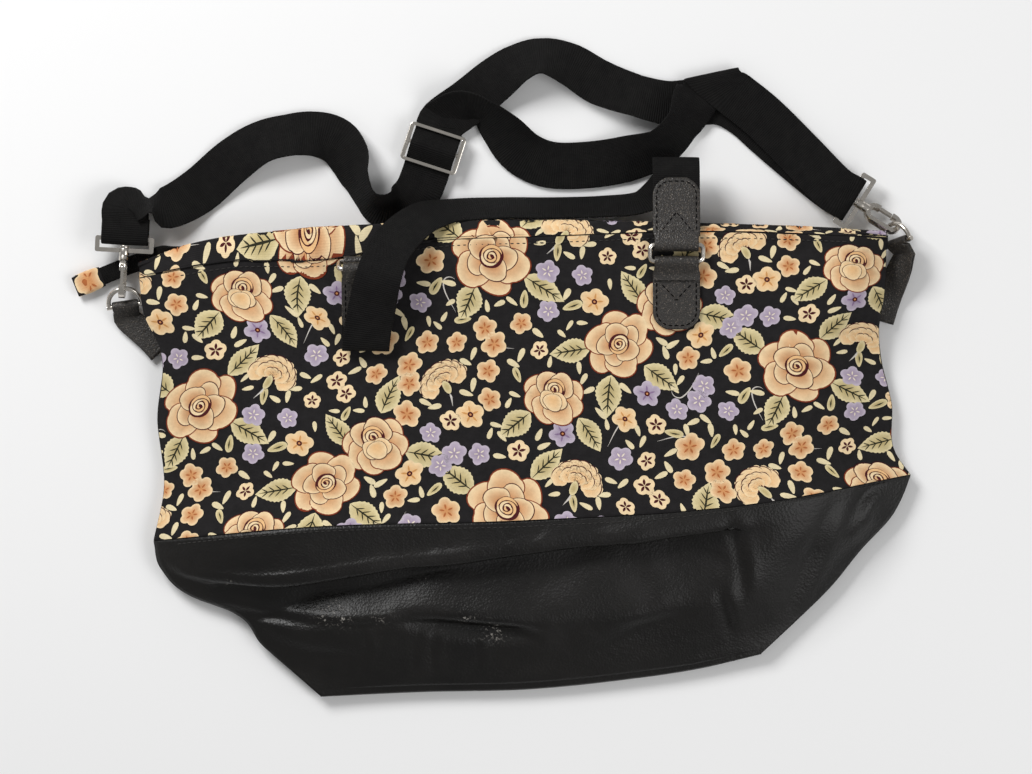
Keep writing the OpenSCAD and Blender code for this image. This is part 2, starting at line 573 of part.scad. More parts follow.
// Side loop: a leather strip sewn in the side seam, folded round the bar of the D-ring in two layers
loop_w = d_inner - 1.2;
loop_t = 1.5;
loop_gap = 0.3;
loop_turn = d_wire / 2 + 0.1 + bore_play + loop_t / 2;
loop_neck = 6.5;
loop_far = 10.8;
loop_low = 3.5;
function d_across(s) = [each turn(d_heading[s] + 90) * cos(d_roll[s]), sin(d_roll[s])];
module side_loop(s, sewn) {
    bar = d_bar(s);
    ex = d_dir(s);
    ey = d_across(s);
    ez = cross(ex, ey);
    lay = (loop_t + loop_gap) / 2;
    far = bar - loop_far * ex;
    low = min(loop_low, far[2]);
    strip = concat([for (p = sewn) [[p[0], p[1], low], [each turn(p[2]), 0], [0, 0, 1]]],
        [[far, ey, d_roll[s] == 0 ? [0, 0, 1] : ez], [bar - loop_neck * ex, ey, ez]]);
    n = len(strip) - 1;
    upper = [for (f = strip) [f[0] + lay * f[2], f[1], f[2]]];
    lower = [for (i = [n : -1 : 0]) [strip[i][0] - lay * strip[i][2], strip[i][1], -strip[i][2]]];
    bend = [for (a = [126 : -28 : -126]) let (out = cos(a) * ex + sin(a) * ez)
        [bar + loop_turn * out, ey, out]];
    color(tab_colour) ribbon_through(concat(upper, bend, lower), loop_w, loop_t);
}
module strap_eye(s) {
    h = eye_inner / 2 + eye_bar;
    color(nickel_colour) stand(clasp_at[s], clasp_heading[s]) difference() {
        union() {
            linear_extrude(eye_bar, center = true) difference() {
                union() {
                    translate([-eye_bar / 2 + 1.5, -h]) square([eye_far + eye_bar * 1.5 - 3, 2 * h]);
                    translate([-eye_bar / 2, -h + 1.5]) square([eye_far + eye_bar * 1.5, 2 * h - 3]);
                    for (x = [-eye_bar / 2 + 1.5, eye_far + eye_bar - 1.5], y = [-h + 1.5, h - 1.5])
                        translate([x, y]) circle(r = 1.5);
                }
                translate([eye_bar / 2, -eye_inner / 2]) square([eye_room, eye_inner]);
            }
            translate([eye_far, 0, 0]) rotate([0, 90, 0]) cylinder(r = boss_r, h = boss_len);
        }
        translate([eye_far - 1, 0, 0]) rotate([0, 90, 0])
            cylinder(r = post_r + running, h = boss_len + 2);
    }
}
// Gate of a hook: a sprung bar on a cross pin, closing the long side of the oval
gate_pin_r = 0.8;
gate_tongue = 1.9;
gate_at = [hook_near - 1, hook_r - hook_wire / 2];
gate_end = hook_far - 2;
hook_t = 4.2;
module hook(s) {
    gate_cut = gate_tongue / 2 + 0.25;
    color(nickel_colour) stand(clasp_at[s], clasp_heading[s], 0, hook_roll[s]) difference() {
        union() {
            translate([eye_far - seat - head_t, 0, 0]) rotate([0, 90, 0])
                cylinder(r = boss_r - 0.2, h = head_t);
            translate([eye_far - seat - head_t / 2, 0, 0]) rotate([0, 90, 0])
                cylinder(r = post_r, h = hook_from - eye_far + seat + head_t / 2 + 2);
            translate([boss_end + seat, 0, 0]) rotate([0, 90, 0])
                cylinder(r = boss_r, h = hook_from - boss_end + 1.6);
            linear_extrude(hook_t, center = true) difference() {
                union() {
                    translate([hook_near, 0]) circle(r = hook_r);
                    translate([hook_far, 0]) circle(r = hook_r);
                    translate([hook_near, -hook_r]) square([hook_far - hook_near, hook_w]);
                }
                translate([hook_near, 0]) circle(r = hook_inner);
                translate([hook_far, 0]) circle(r = hook_inner);
                translate([hook_near, -hook_inner]) square([hook_far - hook_near, 2 * hook_inner]);
                translate([gate_at[0] + 2.4, hook_inner - 1])
                    square([gate_end - gate_at[0] - 2.4 + seat, hook_wire + 2]);
            }
        }
        translate([gate_at[0] - 2.2, hook_inner - 2, -gate_cut])
            cube([5.2, hook_wire + 4, 2 * gate_cut]);
        translate([gate_at[0], gate_at[1], -hook_t]) cylinder(r = gate_pin_r + running, h = 2 * hook_t);
    }
}
module gate(s) {
    bar = hook_wire - 0.7;
    color(nickel_colour) stand(clasp_at[s], clasp_heading[s], 0, hook_roll[s])
        translate([gate_at[0], gate_at[1], 0]) {
        translate([0, 0, -hook_t / 2]) cylinder(r = gate_pin_r, h = hook_t);
        translate([0, 0, -gate_tongue / 2]) linear_extrude(gate_tongue) union() {
            circle(r = bar / 2);
            translate([0, -bar / 2]) square([gate_end - gate_at[0], bar]);
        }
    }
}

// Leather of the side loops, from the ring to the side seam
module side_loop_left() {
    side_loop(0, [[-half_w + 6, top_y - 78, 220], [-half_w - 2, top_y - 69, 216]]);
}
module side_loop_right() {
    side_loop(1, [[half_w - 18, top_y - 57, 160], [half_w - 13, top_y - 41, 166]]);
}
module d_ring_left() { d_ring(0); }
module d_ring_right() { d_ring(1); }
module strap_eye_left() { strap_eye(0); }
module strap_eye_right() { strap_eye(1); }
module hook_left() { hook(0); }
module hook_right() { hook(1); }
module gate_left() { gate(0); }
module gate_right() { gate(1); }

// Three-bar slider of the strap
slider_at = [-66, top_y + 61, 9];
slider_heading = 72;
glide_bar = 2.4;
module strap_slider() {
    l = slider_len / 2;
    h = web_w / 2 + 4;
    slot = l - glide_bar - glide_bar / 2;
    color(nickel_colour) stand(slider_at, slider_heading) linear_extrude(glide_bar, center = true)
        difference() {
        union() {
            square([slider_len - 6, 2 * h], center = true);
            square([slider_len, 2 * h - 6], center = true);
            for (x = [-l + 3, l - 3], y = [-h + 3, h - 3]) translate([x, y]) circle(r = 3);
        }
        for (s = [-1, 1]) translate([s * (glide_bar / 2 + slot / 2), 0])
            square([slot, web_w + 2], center = true);
    }
}

// Shoulder strap: sewn round the slider's middle bar, along the outer strand to the right clasp, back
// along the inner strand, through the slider and on to the left clasp
function at_slider(x, z, az) = [each slider_at + [each x * turn(slider_heading), z], az, 0];
function at_clasp(s, x, z, az) = [each clasp_at[s] + [each x * turn(clasp_heading[s]), z], az, 0];
bar_turn = eye_bar * 0.72 + web_t / 2 + 0.6;
strand_out = [[-46, 88, 12.5, 140, 26], [-32, 85, 14, 98, 52], [-19, 73, 11, 62, 35],
    [-5, 58, 4.5, 58, 10], [14, 50, 1.7, 82, 0],
    [40, 50, 1.7, 92, 0], [66, 54, 4.5, 105, 12], [90, 62, 12, 128, 38], [104, 77, 13, 150, 42],
        [112, 93, 8.5, 160, 14],
    [118, 103, 5.6, 172, 2, 1.04], [123, 109, 5, 192, 0, 1.19], [124, 112, 6.4, 192, 0, 1.19],
        [126, 109, 7.8, 192, 0, 1.19],
    [140, 98, 7.4, 220, 0], [160, 82, 6.4, 225, 0], [184, 58, 8, 228, 0]];
strand_back = [[186, 51, 3.4, 228, 0], [164, 70, 1.4, 226, 0], [147, 85, 1.2, 234, 0],
    [131, 93, 1.5, 262, 0], [113, 93, 1.5, 276, 0],
    [95, 92, 5, 270, 14], [73, 97, 8, 256, 24], [48, 106, 5, 240, 10], [28, 118, 7, 236, 22],
        [8, 124, 11, 268, 38],
    [-8, 119, 9.6, 302, 32], [-25, 107, 6, 318, 12], [-42, 93, 6, 330, 2]];
strand_left = [[-77, 31, 5, 330, -8], [-85, 23, 6, 312, -14], [-98, 19, 11, 280, -38],
    [-111, 25, 15, 238, -62], [-118, 39, 14, 198, -56],
    [-123, 54, 9, 200, -28], [-132, 66, 5, 228, -6], [-147, 71, 6, 262, 14], [-165, 70, 8, 272, 24],
        [-184, 65, 8, 294, 22],
    [-204, 52, 4, 310, 8], [-227, 32, 1.4, 316, 0]];
module shoulder_strap() {
    sewn = [for (q = [[14, -7], [6, -5.2], [1.5, -3.5], [-1.6, -2.4], [-2.8, 0], [-1.4, 2.5],
        [1.6, 2.5], [3.6, 0], [4.9, -2.8], [8, -4.6], [12.5, -4.8], [20, -6]])
        at_slider(q[0], q[1], slider_heading + 90)];
    round_right = [for (q = [[-14, bar_turn + 0.4], [0, bar_turn], [bar_turn, 0], [0, -bar_turn],
        [-14, -bar_turn - 0.8]]) at_clasp(1, q[0], q[1], clasp_heading[1] + 270)];
    through = [for (q = [[20, -3.4], [12.5, -2.7], [10, -2.5], [5.4, 1.6], [0, 4.6], [-5.4, 1.6],
        [-10, -2.5], [-12.5, -2.9], [-20, -4]]) at_slider(q[0], q[1], slider_heading + 270)];
    round_left = [for (q = [[-22, bar_turn - 2.4], [-12, bar_turn], [0, bar_turn], [bar_turn, 0],
        [0, -bar_turn], [-14, -bar_turn - 0.4]]) at_clasp(0, q[0], q[1], clasp_heading[0] + 450)];
    corner = from_top([[clasp_at[0][0] + 26, 19, 8, 322, 0]]);
    color(webbing_colour) ribbon(concat(sewn, from_top(strand_out), round_right, from_top(strand_back),
        through, from_top(strand_left), corner, round_left), web_w, web_t, 2);
}

front_panel();
back_panel();
leather_base();
front_zip_facing();
back_zip_facing();
zip_tape_front();
zip_tape_back();
zip_slider();
zip_pull();
zip_tail();
zip_end_tab();
anchor_tab_front_left();
anchor_tab_front_right();
anchor_tab_back_left();
anchor_tab_back_right();
handle_ring_front_left();
handle_ring_front_right();
handle_ring_back_left();
handle_ring_back_right();
end_tab_front_left();
end_tab_front_right();
end_tab_back_left();
end_tab_back_right();
front_handle();
back_handle();
side_loop_left();
side_loop_right();
d_ring_left();
d_ring_right();
strap_eye_left();
strap_eye_right();
hook_left();
hook_right();
gate_left();
gate_right();
strap_slider();
shoulder_strap();
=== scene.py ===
import bpy
import numpy as np
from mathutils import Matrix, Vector


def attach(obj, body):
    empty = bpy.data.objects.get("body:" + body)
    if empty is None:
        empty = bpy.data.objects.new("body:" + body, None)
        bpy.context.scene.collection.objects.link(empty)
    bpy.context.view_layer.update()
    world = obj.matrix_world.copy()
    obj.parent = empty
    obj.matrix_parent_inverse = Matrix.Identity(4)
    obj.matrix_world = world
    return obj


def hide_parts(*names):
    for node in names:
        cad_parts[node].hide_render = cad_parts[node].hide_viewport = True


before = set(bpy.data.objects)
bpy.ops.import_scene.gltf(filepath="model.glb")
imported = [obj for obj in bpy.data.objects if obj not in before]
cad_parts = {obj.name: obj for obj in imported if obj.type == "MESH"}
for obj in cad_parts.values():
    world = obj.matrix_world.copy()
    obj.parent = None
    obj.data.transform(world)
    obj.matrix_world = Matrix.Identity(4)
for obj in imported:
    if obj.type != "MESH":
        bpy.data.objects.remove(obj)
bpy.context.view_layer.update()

# The bag lies on a pale table in soft daylight and is seen straight from above. The camera hangs high
# over the middle of a 702 mm wide stretch of the table, so the picture has almost no perspective.
MM = 0.001
VIEW_W = 702.0
VIEW_MID = (-9.5, 51.0)
CAMERA_Z = 3000.0
BAG_MID_Z = 20.0
LAMP_AIM = Vector((0, 0.05, 0))
TABLE_HALF, TABLE_Z = 4.0, -0.0012


def soft_lamp(name, place, power, size):
    """A square lamp at place (metres), turned towards the middle of the bag."""
    lamp = bpy.data.objects.new(name, bpy.data.lights.new(name, "AREA"))
    lamp.data.energy = power
    lamp.data.size = size
    lamp.location = place
    lamp.rotation_euler = (LAMP_AIM - lamp.location).to_track_quat("-Z", "Y").to_euler()
    bpy.context.collection.objects.link(lamp)


def rgba(colour):
    """Linear RGBA of a colour: #rrggbb, one number for a grey, or three numbers that are linear already."""
    if isinstance(colour, str):
        c = np.array([int(colour[i:i + 2], 16) for i in (1, 3, 5)]) / 255
        colour = np.where(c <= 0.04045, c / 12.92, ((c + 0.055) / 1.055) ** 2.4)
    return tuple(np.broadcast_to(colour, 3)) + (1.0,)


def plain_finish(name, colour, roughness, metallic=0.0, specular=0.5):
    """A material with one shader whose own sockets hold the finish; returns it with its shader."""
    material = bpy.data.materials.new(name)
    material.use_nodes = True
    shader = material.node_tree.nodes["Principled BSDF"]
    shader.inputs["Base Color"].default_value = rgba(colour)
    shader.inputs["Roughness"].default_value = roughness
    shader.inputs["Metallic"].default_value = metallic
    shader.inputs["Specular IOR Level"].default_value = specular
    return material, shader


camera = bpy.data.objects.new("camera", bpy.data.cameras.new("camera"))
camera.data.lens = camera.data.sensor_width * (CAMERA_Z - BAG_MID_Z) / VIEW_W
camera.location = (VIEW_MID[0] * MM, VIEW_MID[1] * MM, CAMERA_Z * MM)
bpy.context.collection.objects.link(camera)
bpy.context.scene.camera = camera
bpy.context.scene.view_settings.view_transform = "Standard"

daylight = bpy.data.worlds.new("daylight")
daylight.use_nodes = True
daylight.node_tree.nodes["Background"].inputs["Color"].default_value = (1, 1, 1, 1)
daylight.node_tree.nodes["Background"].inputs["Strength"].default_value = 0.3
bpy.context.scene.world = daylight
soft_lamp("window_lamp", (-1.1, 1.4, 1.5), 40.0, 0.9)
soft_lamp("room_lamp", (1.3, -0.5, 1.5), 14.0, 1.2)

table_mesh = bpy.data.meshes.new("table")
table_mesh.from_pydata([(x * TABLE_HALF, y * TABLE_HALF, TABLE_Z) for x, y in ((-1, -1), (1, -1), (1, 1), (-1, 1))],
                       [], [(0, 1, 2, 3)])
table_mesh.materials.append(plain_finish("table_top", 0.88, 0.9)[0])
table = bpy.data.objects.new("table", table_mesh)
bpy.context.collection.objects.link(table)

# Leather base: one sheet of black grained leather cloth, wrapped from the back seam round the bottom
# edge and up to the front seam. Empty, it has slumped: a roll overhangs a deep fold below the seam.
HALF_W = 258.0
SEAM_Y, CANVAS_H, BASE_H = -39.0, 192.0, 116.0
TOP_Y = SEAM_Y + CANVAS_H
BOTTOM_Y = SEAM_Y - BASE_H
PANEL_H, SEAM_H, HEM_H, SHOULDER_H, BACK_LIFT = 36.0, 46.0, 9.4, 18.0, 12.0
SEAT = 0.3
LEATHER_T, FOLD_OVER = 1.8, 8.0
BASE_COLS, BASE_ROWS, CREASE_DOTS = 161, 145, 60


def key_line(t, *keys):
    """Smooth curve through (place, value) keys: cubic Hermite, with each key's slope from its neighbours."""
    x, y = np.array(keys, float).T
    slope = np.gradient(y, x)
    i = np.clip(np.searchsorted(x, t, side="right") - 1, 0, len(x) - 2)
    h = x[i + 1] - x[i]
    q = np.clip((t - x[i]) / h, 0, 1)
    return ((2 * q + 1) * (1 - q) ** 2 * y[i] + q * (1 - q) ** 2 * h * slope[i]
            + q * q * (3 - 2 * q) * y[i + 1] - q * q * (1 - q) * h * slope[i + 1])


def mix(a, b, t):
    """The value a share t of the way from a to b."""
    return a + (b - a) * t


def soft_step(t):
    """0 below 0, 1 above 1, and 3t2 - 2t3 between."""
    t = np.clip(t, 0, 1)
    return t * t * (3 - 2 * t)


def rise(u, share):
    """Quarter sine from 0 at a side seam to 1 at that share of the width."""
    return np.sin(np.pi / 2 * np.clip(np.minimum(u, 1 - u) / share, 0, 1))


def along(keys, t):
    """Point at share t of a smooth line through keys (..., k, c): Catmull-Rom between neighbouring keys."""
    k = keys.shape[-2]
    t = np.asarray(t, float)
    keys = np.broadcast_to(keys, t.shape + keys.shape[-2:])
    s = np.clip(t, 0, 1) * (k - 1)
    i = np.clip(np.floor(s).astype(int), 0, k - 2)
    q = (s - i)[..., None]
    a, b, c, d = (np.take_along_axis(keys, np.clip(i + j, 0, k - 1)[..., None, None], -2)[..., 0, :]
                  for j in (-1, 0, 1, 2))
    return b + q / 2 * (c - a + q * (2 * a - 5 * b + 4 * c - d + q * (3 * (b - c) + d - a)))


def curve(level, *keys):
    """A smooth curve through keys (share, height above a level), as a function of the share."""
    return lambda t: level + key_line(t, *keys)


def stacked(keys):
    """A list of key points, each a tuple of arrays, as one array (..., k, c)."""
    return np.stack([np.stack(k, -1) for k in keys], -2)


def unit(v):
    """Vectors scaled to length 1 along the last axis."""
    return v / np.maximum(np.linalg.norm(v, axis=-1, keepdims=True), 1e-9)


# y of the seam and of the lower edge across the width, z of the plain front and place of the fold
seam_line = curve(SEAM_Y, (0, -15), (0.2, -5), (0.5, 0), (0.79, 11), (1, 30))
bottom_line = curve(BOTTOM_Y, (0, -5), (0.23, -2), (0.48, 0), (0.68, 6), (0.86, 14), (1, 24))
base_height = curve(0, (0, SEAM_H), (0.2, SEAM_H - 3), (0.6, (HEM_H + SEAM_H) / 2), (0.92, HEM_H + 3), (1, HEM_H))
fold_depth = curve(0, (0, 0.2), (0.08, 0.29), (0.35, 0.24), (0.53, 0.17), (0.7, 0.13), (0.8, 0.12))
# x of the leather's two outlines by depth share
base_left = curve(-HALF_W, (0, 1), (0.18, 6), (0.38, 32), (0.44, 50), (0.68, 76), (0.86, 98), (1, 115))
base_right = curve(HALF_W, (0, 2), (0.11, -3), (0.22, -10), (0.42, -32), (0.64, -54), (0.8, -74), (1, -100))
# Stations through the fold: depth share past the fold, overhang share and height
FOLD = ((0.3, -0.85, -15.5), (0.22, -0.25, -15.5), (0.165, 0.45, -14.6), (0.13, 1, -12.6), (0.1, 0.95, -10.2),
        (0.07, 0.45, -8.6), (0.04, -0.15, -6.2), (0.015, -0.32, -2.4), (-0.02, -0.1, 1.4), (-0.06, 0.6, 3),
        (-0.1, 1.4, 2.6))


def leather_keys(u):
    """Section of the base at u as keys (y, z, depth share): back, bottom roll, plain front, fold, front seam."""
    seam, hem = seam_line(u), bottom_line(u)
    low, b = HEM_H - 2 * LEATHER_T - SEAT, rise(u, 0.2)
    one = np.ones_like(u)
    keys = [(mix(seam - SEAT, hem, f), mix(low, 0, b), f * one) for f in (0, 0.3, 0.6, 0.86)]
    keys += [(hem + up, z, 1 - max(up, 0) / (seam - hem)) for up, z in (
        (4, mix(low, 0, b)), (0.4, mix(low + 0.5, 1.6, b)), (-0.6, mix((low + HEM_H) / 2, 4.6, b)),
        (0.4, mix(HEM_H - 0.5, 7.8, b)), (4, HEM_H * one))]
    keys += [(mix(seam, hem, f), mix(HEM_H, base_height(f), b), f * one) for f in (0.94, 0.82, 0.68, 0.55)]
    c = fold_depth(u)
    size = soft_step(u / 0.12) * soft_step((0.86 - u) / 0.2)
    for past, over, height in FOLD:
        f = np.maximum(0.02, c + past)
        keys.append((mix(mix(seam, hem, f), mix(seam, hem, c) + over * FOLD_OVER, size),
                     mix(HEM_H, mix(base_height(f), base_height(c) + height, size), b), f))
    return stacked(keys + [(seam - SEAT, mix(HEM_H, SEAM_H, b), 0 * one)])


def to_line(x, y, line):
    """Signed distance of points from a smooth line of (x, y) keys, positive on its left, and the share along it."""
    dots = along(np.array(line, float), np.linspace(0, 1, CREASE_DOTS))
    gap = np.stack([x, y], -1)[..., None, :] - dots
    near = np.argmin((gap ** 2).sum(-1), -1)
    best = np.take_along_axis(gap, near[..., None, None], -2)[..., 0, :]
    ahead = np.gradient(dots, axis=0)[near]
    side = ahead[..., 0] * best[..., 1] - ahead[..., 1] * best[..., 0]
    return np.where(side < 0, -1, 1) * np.sqrt((best ** 2).sum(-1)), near / (CREASE_DOTS - 1)


def creased(x, y, creases):
    """Height of creases: a valley of gaussian section on each line and a lower ridge on its left side."""
    height = np.zeros_like(x)
    for line, width, depth, ridge in creases:
        d, s = to_line(x, y, line)
        height += np.sin(np.pi * np.clip(s, 0.02, 0.98)) ** 0.6 * (
            ridge * np.exp(-((d - 1.6 * width) / (1.5 * width)) ** 2) - depth * np.exp(-(d / width) ** 2))
    return height


def grid_normals(points):
    """Unit normals of a grid of points: d/dcolumn x d/drow by central differences."""
    return unit(np.cross(np.gradient(points, axis=0), np.gradient(points, axis=1)))


def mesh_piece(name, points, faces, uv, material, thickness=0.0):
    """A smooth mesh of points and faces in millimetres that rides on the bag, with uv in millimetres as its UV
    map in metres; thickness is added on the inner side."""
    mesh = bpy.data.meshes.new(name)
    mesh.from_pydata((np.asarray(points).reshape(-1, 3) * MM).tolist(), [], faces)
    corner = np.empty(len(mesh.loops), np.int32)
    mesh.loops.foreach_get("vertex_index", corner)
    mesh.uv_layers.new(name="flat").data.foreach_set("uv", (np.asarray(uv).reshape(-1, 2)[corner] * MM).ravel())
    mesh.polygons.foreach_set("use_smooth", np.ones(len(mesh.polygons), bool))
    mesh.materials.append(material)
    piece = bpy.data.objects.new(name, mesh)
    bpy.context.collection.objects.link(piece)
    if thickness:
        solid = piece.modifiers.new("thickness", "SOLIDIFY")
        solid.thickness = thickness * MM
        solid.offset = -1
    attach(piece, "bag")
    return piece


def grid_faces(n, m, wrap=False):
    """Quads between the neighbours of an n x m grid, closed round the second way if wrap."""
    index = np.arange(n * m).reshape(n, m)
    if wrap:
        index = np.concatenate([index, index[:, :1]], 1)
    return np.stack([index[:-1, :-1], index[1:, :-1], index[1:, 1:], index[:-1, 1:]], -1).reshape(-1, 4).tolist()


def grid_spans(points):
    """Flat coordinates of a grid of cloth: mean length along each of its two ways, in millimetres."""
    across = np.linalg.norm(np.diff(points, axis=0), axis=-1).mean(1).cumsum()
    up = np.linalg.norm(np.diff(points, axis=1), axis=-1).mean(0).cumsum()
    return np.stack(np.meshgrid(np.r_[0, across], np.r_[0, up], indexing="ij"), -1)


def cloth_piece(name, node, grid, material, thickness):
    """A grid of cloth as a piece that stands for a node of the frame; returns it with its area in square metres,
    from the cross products of its cells."""
    piece = mesh_piece(name, grid, grid_faces(*grid.shape[:2]), grid_spans(grid), material, thickness)
    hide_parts(node)
    cells = np.cross(grid[1:, :-1] - grid[:-1, :-1], grid[:-1, 1:] - grid[:-1, :-1])
    return piece, float(np.linalg.norm(cells, axis=-1).sum()) * MM * MM


def link(value, node, socket):
    """Joins a value to a socket of a node."""
    node.id_data.links.new(value, node.inputs[socket])


def pattern(shader, kind, source, output="Fac", bands=None, **values):
    """One output of a texture node on Object or UV coordinates, with its inputs set by name."""
    tree = shader.id_data
    node = tree.nodes.new("ShaderNodeTex" + kind)
    link(tree.nodes.new("ShaderNodeTexCoord").outputs[source], node, "Vector")
    for key, value in values.items():
        node.inputs[key.replace("_", " ")].default_value = value
    if bands:
        node.bands_direction = bands
    return node.outputs[output]


def graded(node, socket, value, *stops):
    """A colour ramp from a value to a socket of a node, with stops of (place, colour)."""
    ramp = node.id_data.nodes.new("ShaderNodeValToRGB")
    while len(ramp.color_ramp.elements) < len(stops):
        ramp.color_ramp.elements.new(0.5)
    for element, (place, colour) in zip(ramp.color_ramp.elements, stops):
        element.position = place
        element.color = rgba(colour)
    link(value, ramp, "Fac")
    link(ramp.outputs["Color"], node, socket)


def blended(shader, kind):
    """A node that blends its colours A and B into the shader's colour."""
    node = shader.id_data.nodes.new("ShaderNodeMix")
    node.data_type = "RGBA"
    node.blend_type = kind
    link(node.outputs["Result"], shader, "Base Color")
    return node


def painted(shader, name):
    """A node that reads an attribute of the mesh."""
    node = shader.id_data.nodes.new("ShaderNodeAttribute")
    node.attribute_name = name
    return node


def relief(shader, height, depth, strength):
    """Bump of that depth in metres from a height, laid over what the shader's normal already holds."""
    bump = shader.id_data.nodes.new("ShaderNodeBump")
    bump.inputs["Strength"].default_value = strength
    bump.inputs["Distance"].default_value = depth
    link(height, bump, "Height")
    if shader.inputs["Normal"].is_linked:
        link(shader.inputs["Normal"].links[0].from_socket, bump, "Normal")
    link(bump.outputs["Normal"], shader, "Normal")


# Creases of the base: line, half width, depth and ridge
BASE_CREASES = (
    (((-212, -100), (-165, -107), (-124, -111), (-84, -109)), 3.0, 2.4, 2.0),
    (((-86, -108), (-45, -113), (4, -118)), 5.0, 7.5, 2.2),
    (((135, -38), (142, -65), (145, -92)), 4.0, 2.8, 1.6),
    (((128, -86), (133, -101), (138, -118)), 3.5, 2.4, 1.4),
    (((-250, -70), (-238, -79), (-220, -84)), 2.6, 1.8, 1.2),
    (((34, -134), (75, -114), (112, -100)), 7.0, 1.8, 1.4),
    (((-62, -112), (-66, -128), (-66, -146)), 2.4, 0.8, 0.5),
    (((-74, -114), (-78, -128), (-80, -142)), 2.4, 0.7, 0.5),
    (((-18, -43), (-15, -50), (-17, -58)), 2.2, 0.7, 0.4),
    (((10, -42), (4, -50), (1, -57)), 2.4, 0.7, 0.4),
    (((208, -24), (192, -60), (176, -98)), 6.0, 2.0, 1.6),
    (((228, -20), (218, -36), (212, -52)), 4.0, 1.4, 1.0),
    (((60, -58), (75, -75), (82, -98)), 6.0, 1.2, 1.0),
    (((-190, -118), (-150, -130), (-108, -134)), 5.0, 1.2, 1.0),
    (((70, -152), (100, -140), (126, -127)), 5.0, 2.2, 1.4),
    (((-113, -116), (-110, -126), (-114, -138)), 2.0, 0.9, 0.6),
    (((-38, -120), (-34, -130), (-37, -143)), 2.2, 0.8, 0.5),
    (((-70, -45), (-64, -53), (-68, -62)), 2.0, 0.7, 0.5),
    (((-57, -44), (-60, -52), (-55, -60)), 2.0, 0.6, 0.4),
    (((238, -14), (226, -26), (222, -44)), 3.5, 1.6, 1.0))
SCUFF_SPOTS = ((-136, -98, 7), (-127, -106, 7), (-140, -107, 5), (-101, -105, 5), (-42, -107, 6), (-24, -116, 8),
               (-72, -80, 3), (-205, -82, 3))

base_u, base_t = np.linspace(0, 1, BASE_COLS), np.linspace(0, 1, BASE_ROWS)
base_section = along(leather_keys(base_u)[:, None], np.tile(base_t, (BASE_COLS, 1)))
base_y, base_z, base_f = np.moveaxis(base_section, -1, 0)
base_grid = np.stack([mix(base_left(base_f), base_right(base_f), base_u[:, None]), base_y, base_z], -1)
front_share = soft_step((base_t - 0.36) / 0.08) * soft_step((1 - base_t) / 0.05)
base_x = base_grid[..., 0]
base_swell = (0.9 * np.sin(base_x / 23 + base_y / 41) * np.sin(base_y / 17 - base_x / 67)
              + 0.5 * np.sin(base_x / 11 - base_y / 9 + 1.3) * np.sin(base_x / 31 + 0.5))
base_lift = (creased(base_x, base_y, BASE_CREASES) + base_swell) * front_share * rise(base_u, 0.05)[:, None]
base_grid = base_grid + grid_normals(base_grid) * base_lift[..., None]
base_grid[..., 2] = np.maximum(base_grid[..., 2], 0)

base_leather, shader = plain_finish("base_leather", "#0d0c0c", 0.42, specular=0.35)
grain = pattern(shader, "Voronoi", "Object", "Distance", Scale=620.0)
fine = pattern(shader, "Noise", "Object", Scale=240.0, Detail=6.0, Roughness=0.6)
worn = pattern(shader, "Noise", "Object", Scale=16.0, Detail=5.0, Roughness=0.6)
speck = pattern(shader, "Noise", "Object", Scale=420.0, Detail=3.0, Roughness=0.7)
scuffed = shader.id_data.nodes.new("ShaderNodeMath")
scuffed.operation = "MULTIPLY"
link(painted(shader, "scuff").outputs["Fac"], scuffed, 0)
graded(scuffed, 1, speck, (0.57, 0), (0.7, 1))
leather_tint = blended(shader, "MIX")
link(scuffed.outputs[0], leather_tint, "Factor")
graded(leather_tint, "A", worn, (0.3, "#090807"), (0.55, "#100e0c"), (0.75, "#1a1817"))
leather_tint.inputs["B"].default_value = rgba("#b9b4ac")
graded(shader, "Roughness", worn, (0.35, 0.36), (0.7, 0.5))
relief(shader, grain, 0.0004, 0.45)
relief(shader, fine, 0.0006, 0.5)

leather, base_area = cloth_piece("leather_base_sheet", "leather_base", base_grid, base_leather,
                                 LEATHER_T)
scuff_share = np.max([np.exp(-((base_x - x) ** 2 + (base_y - y) ** 2 * 2) / r ** 2) for x, y, r in SCUFF_SPOTS], 0)
leather.data.attributes.new("scuff", "FLOAT", "POINT").data.foreach_set("value", (scuff_share * front_share).ravel())

# Canvas panels: black cotton cut to the bag's face and back, sewn to the leather along the seam and to
# each other at the sides. The front lies almost flat, with slack hollows between its sewn edges.
CANVAS_T, BACK_RIM = 1.6, 6.0
PANEL_COLS, PANEL_ROWS = 181, 91
TAB_PLACES = ((-111.0, 112.0), (99.0, 112.0))
# Soft hollows of the front: line, half width, depth and ridge
CANVAS_CREASES = (
    (((-246, -30), (-215, -26), (-170, -18), (-135, -10)), 13.0, 1.4, 0.0),
    (((-236, 112), (-205, 106), (-172, 110)), 13.0, 1.2, 0.0),
    (((214, 8), (232, 20), (240, 42)), 14.0, 1.3, 0.0),
    (((180, 96), (205, 90), (236, 92)), 14.0, 1.2, 0.0),
    (((-60, 100), (-20, 90), (20, 94)), 16.0, 1.2, 0.0),
    (((-40, 10), (20, 16), (80, 30)), 18.0, 1.2, 0.0))
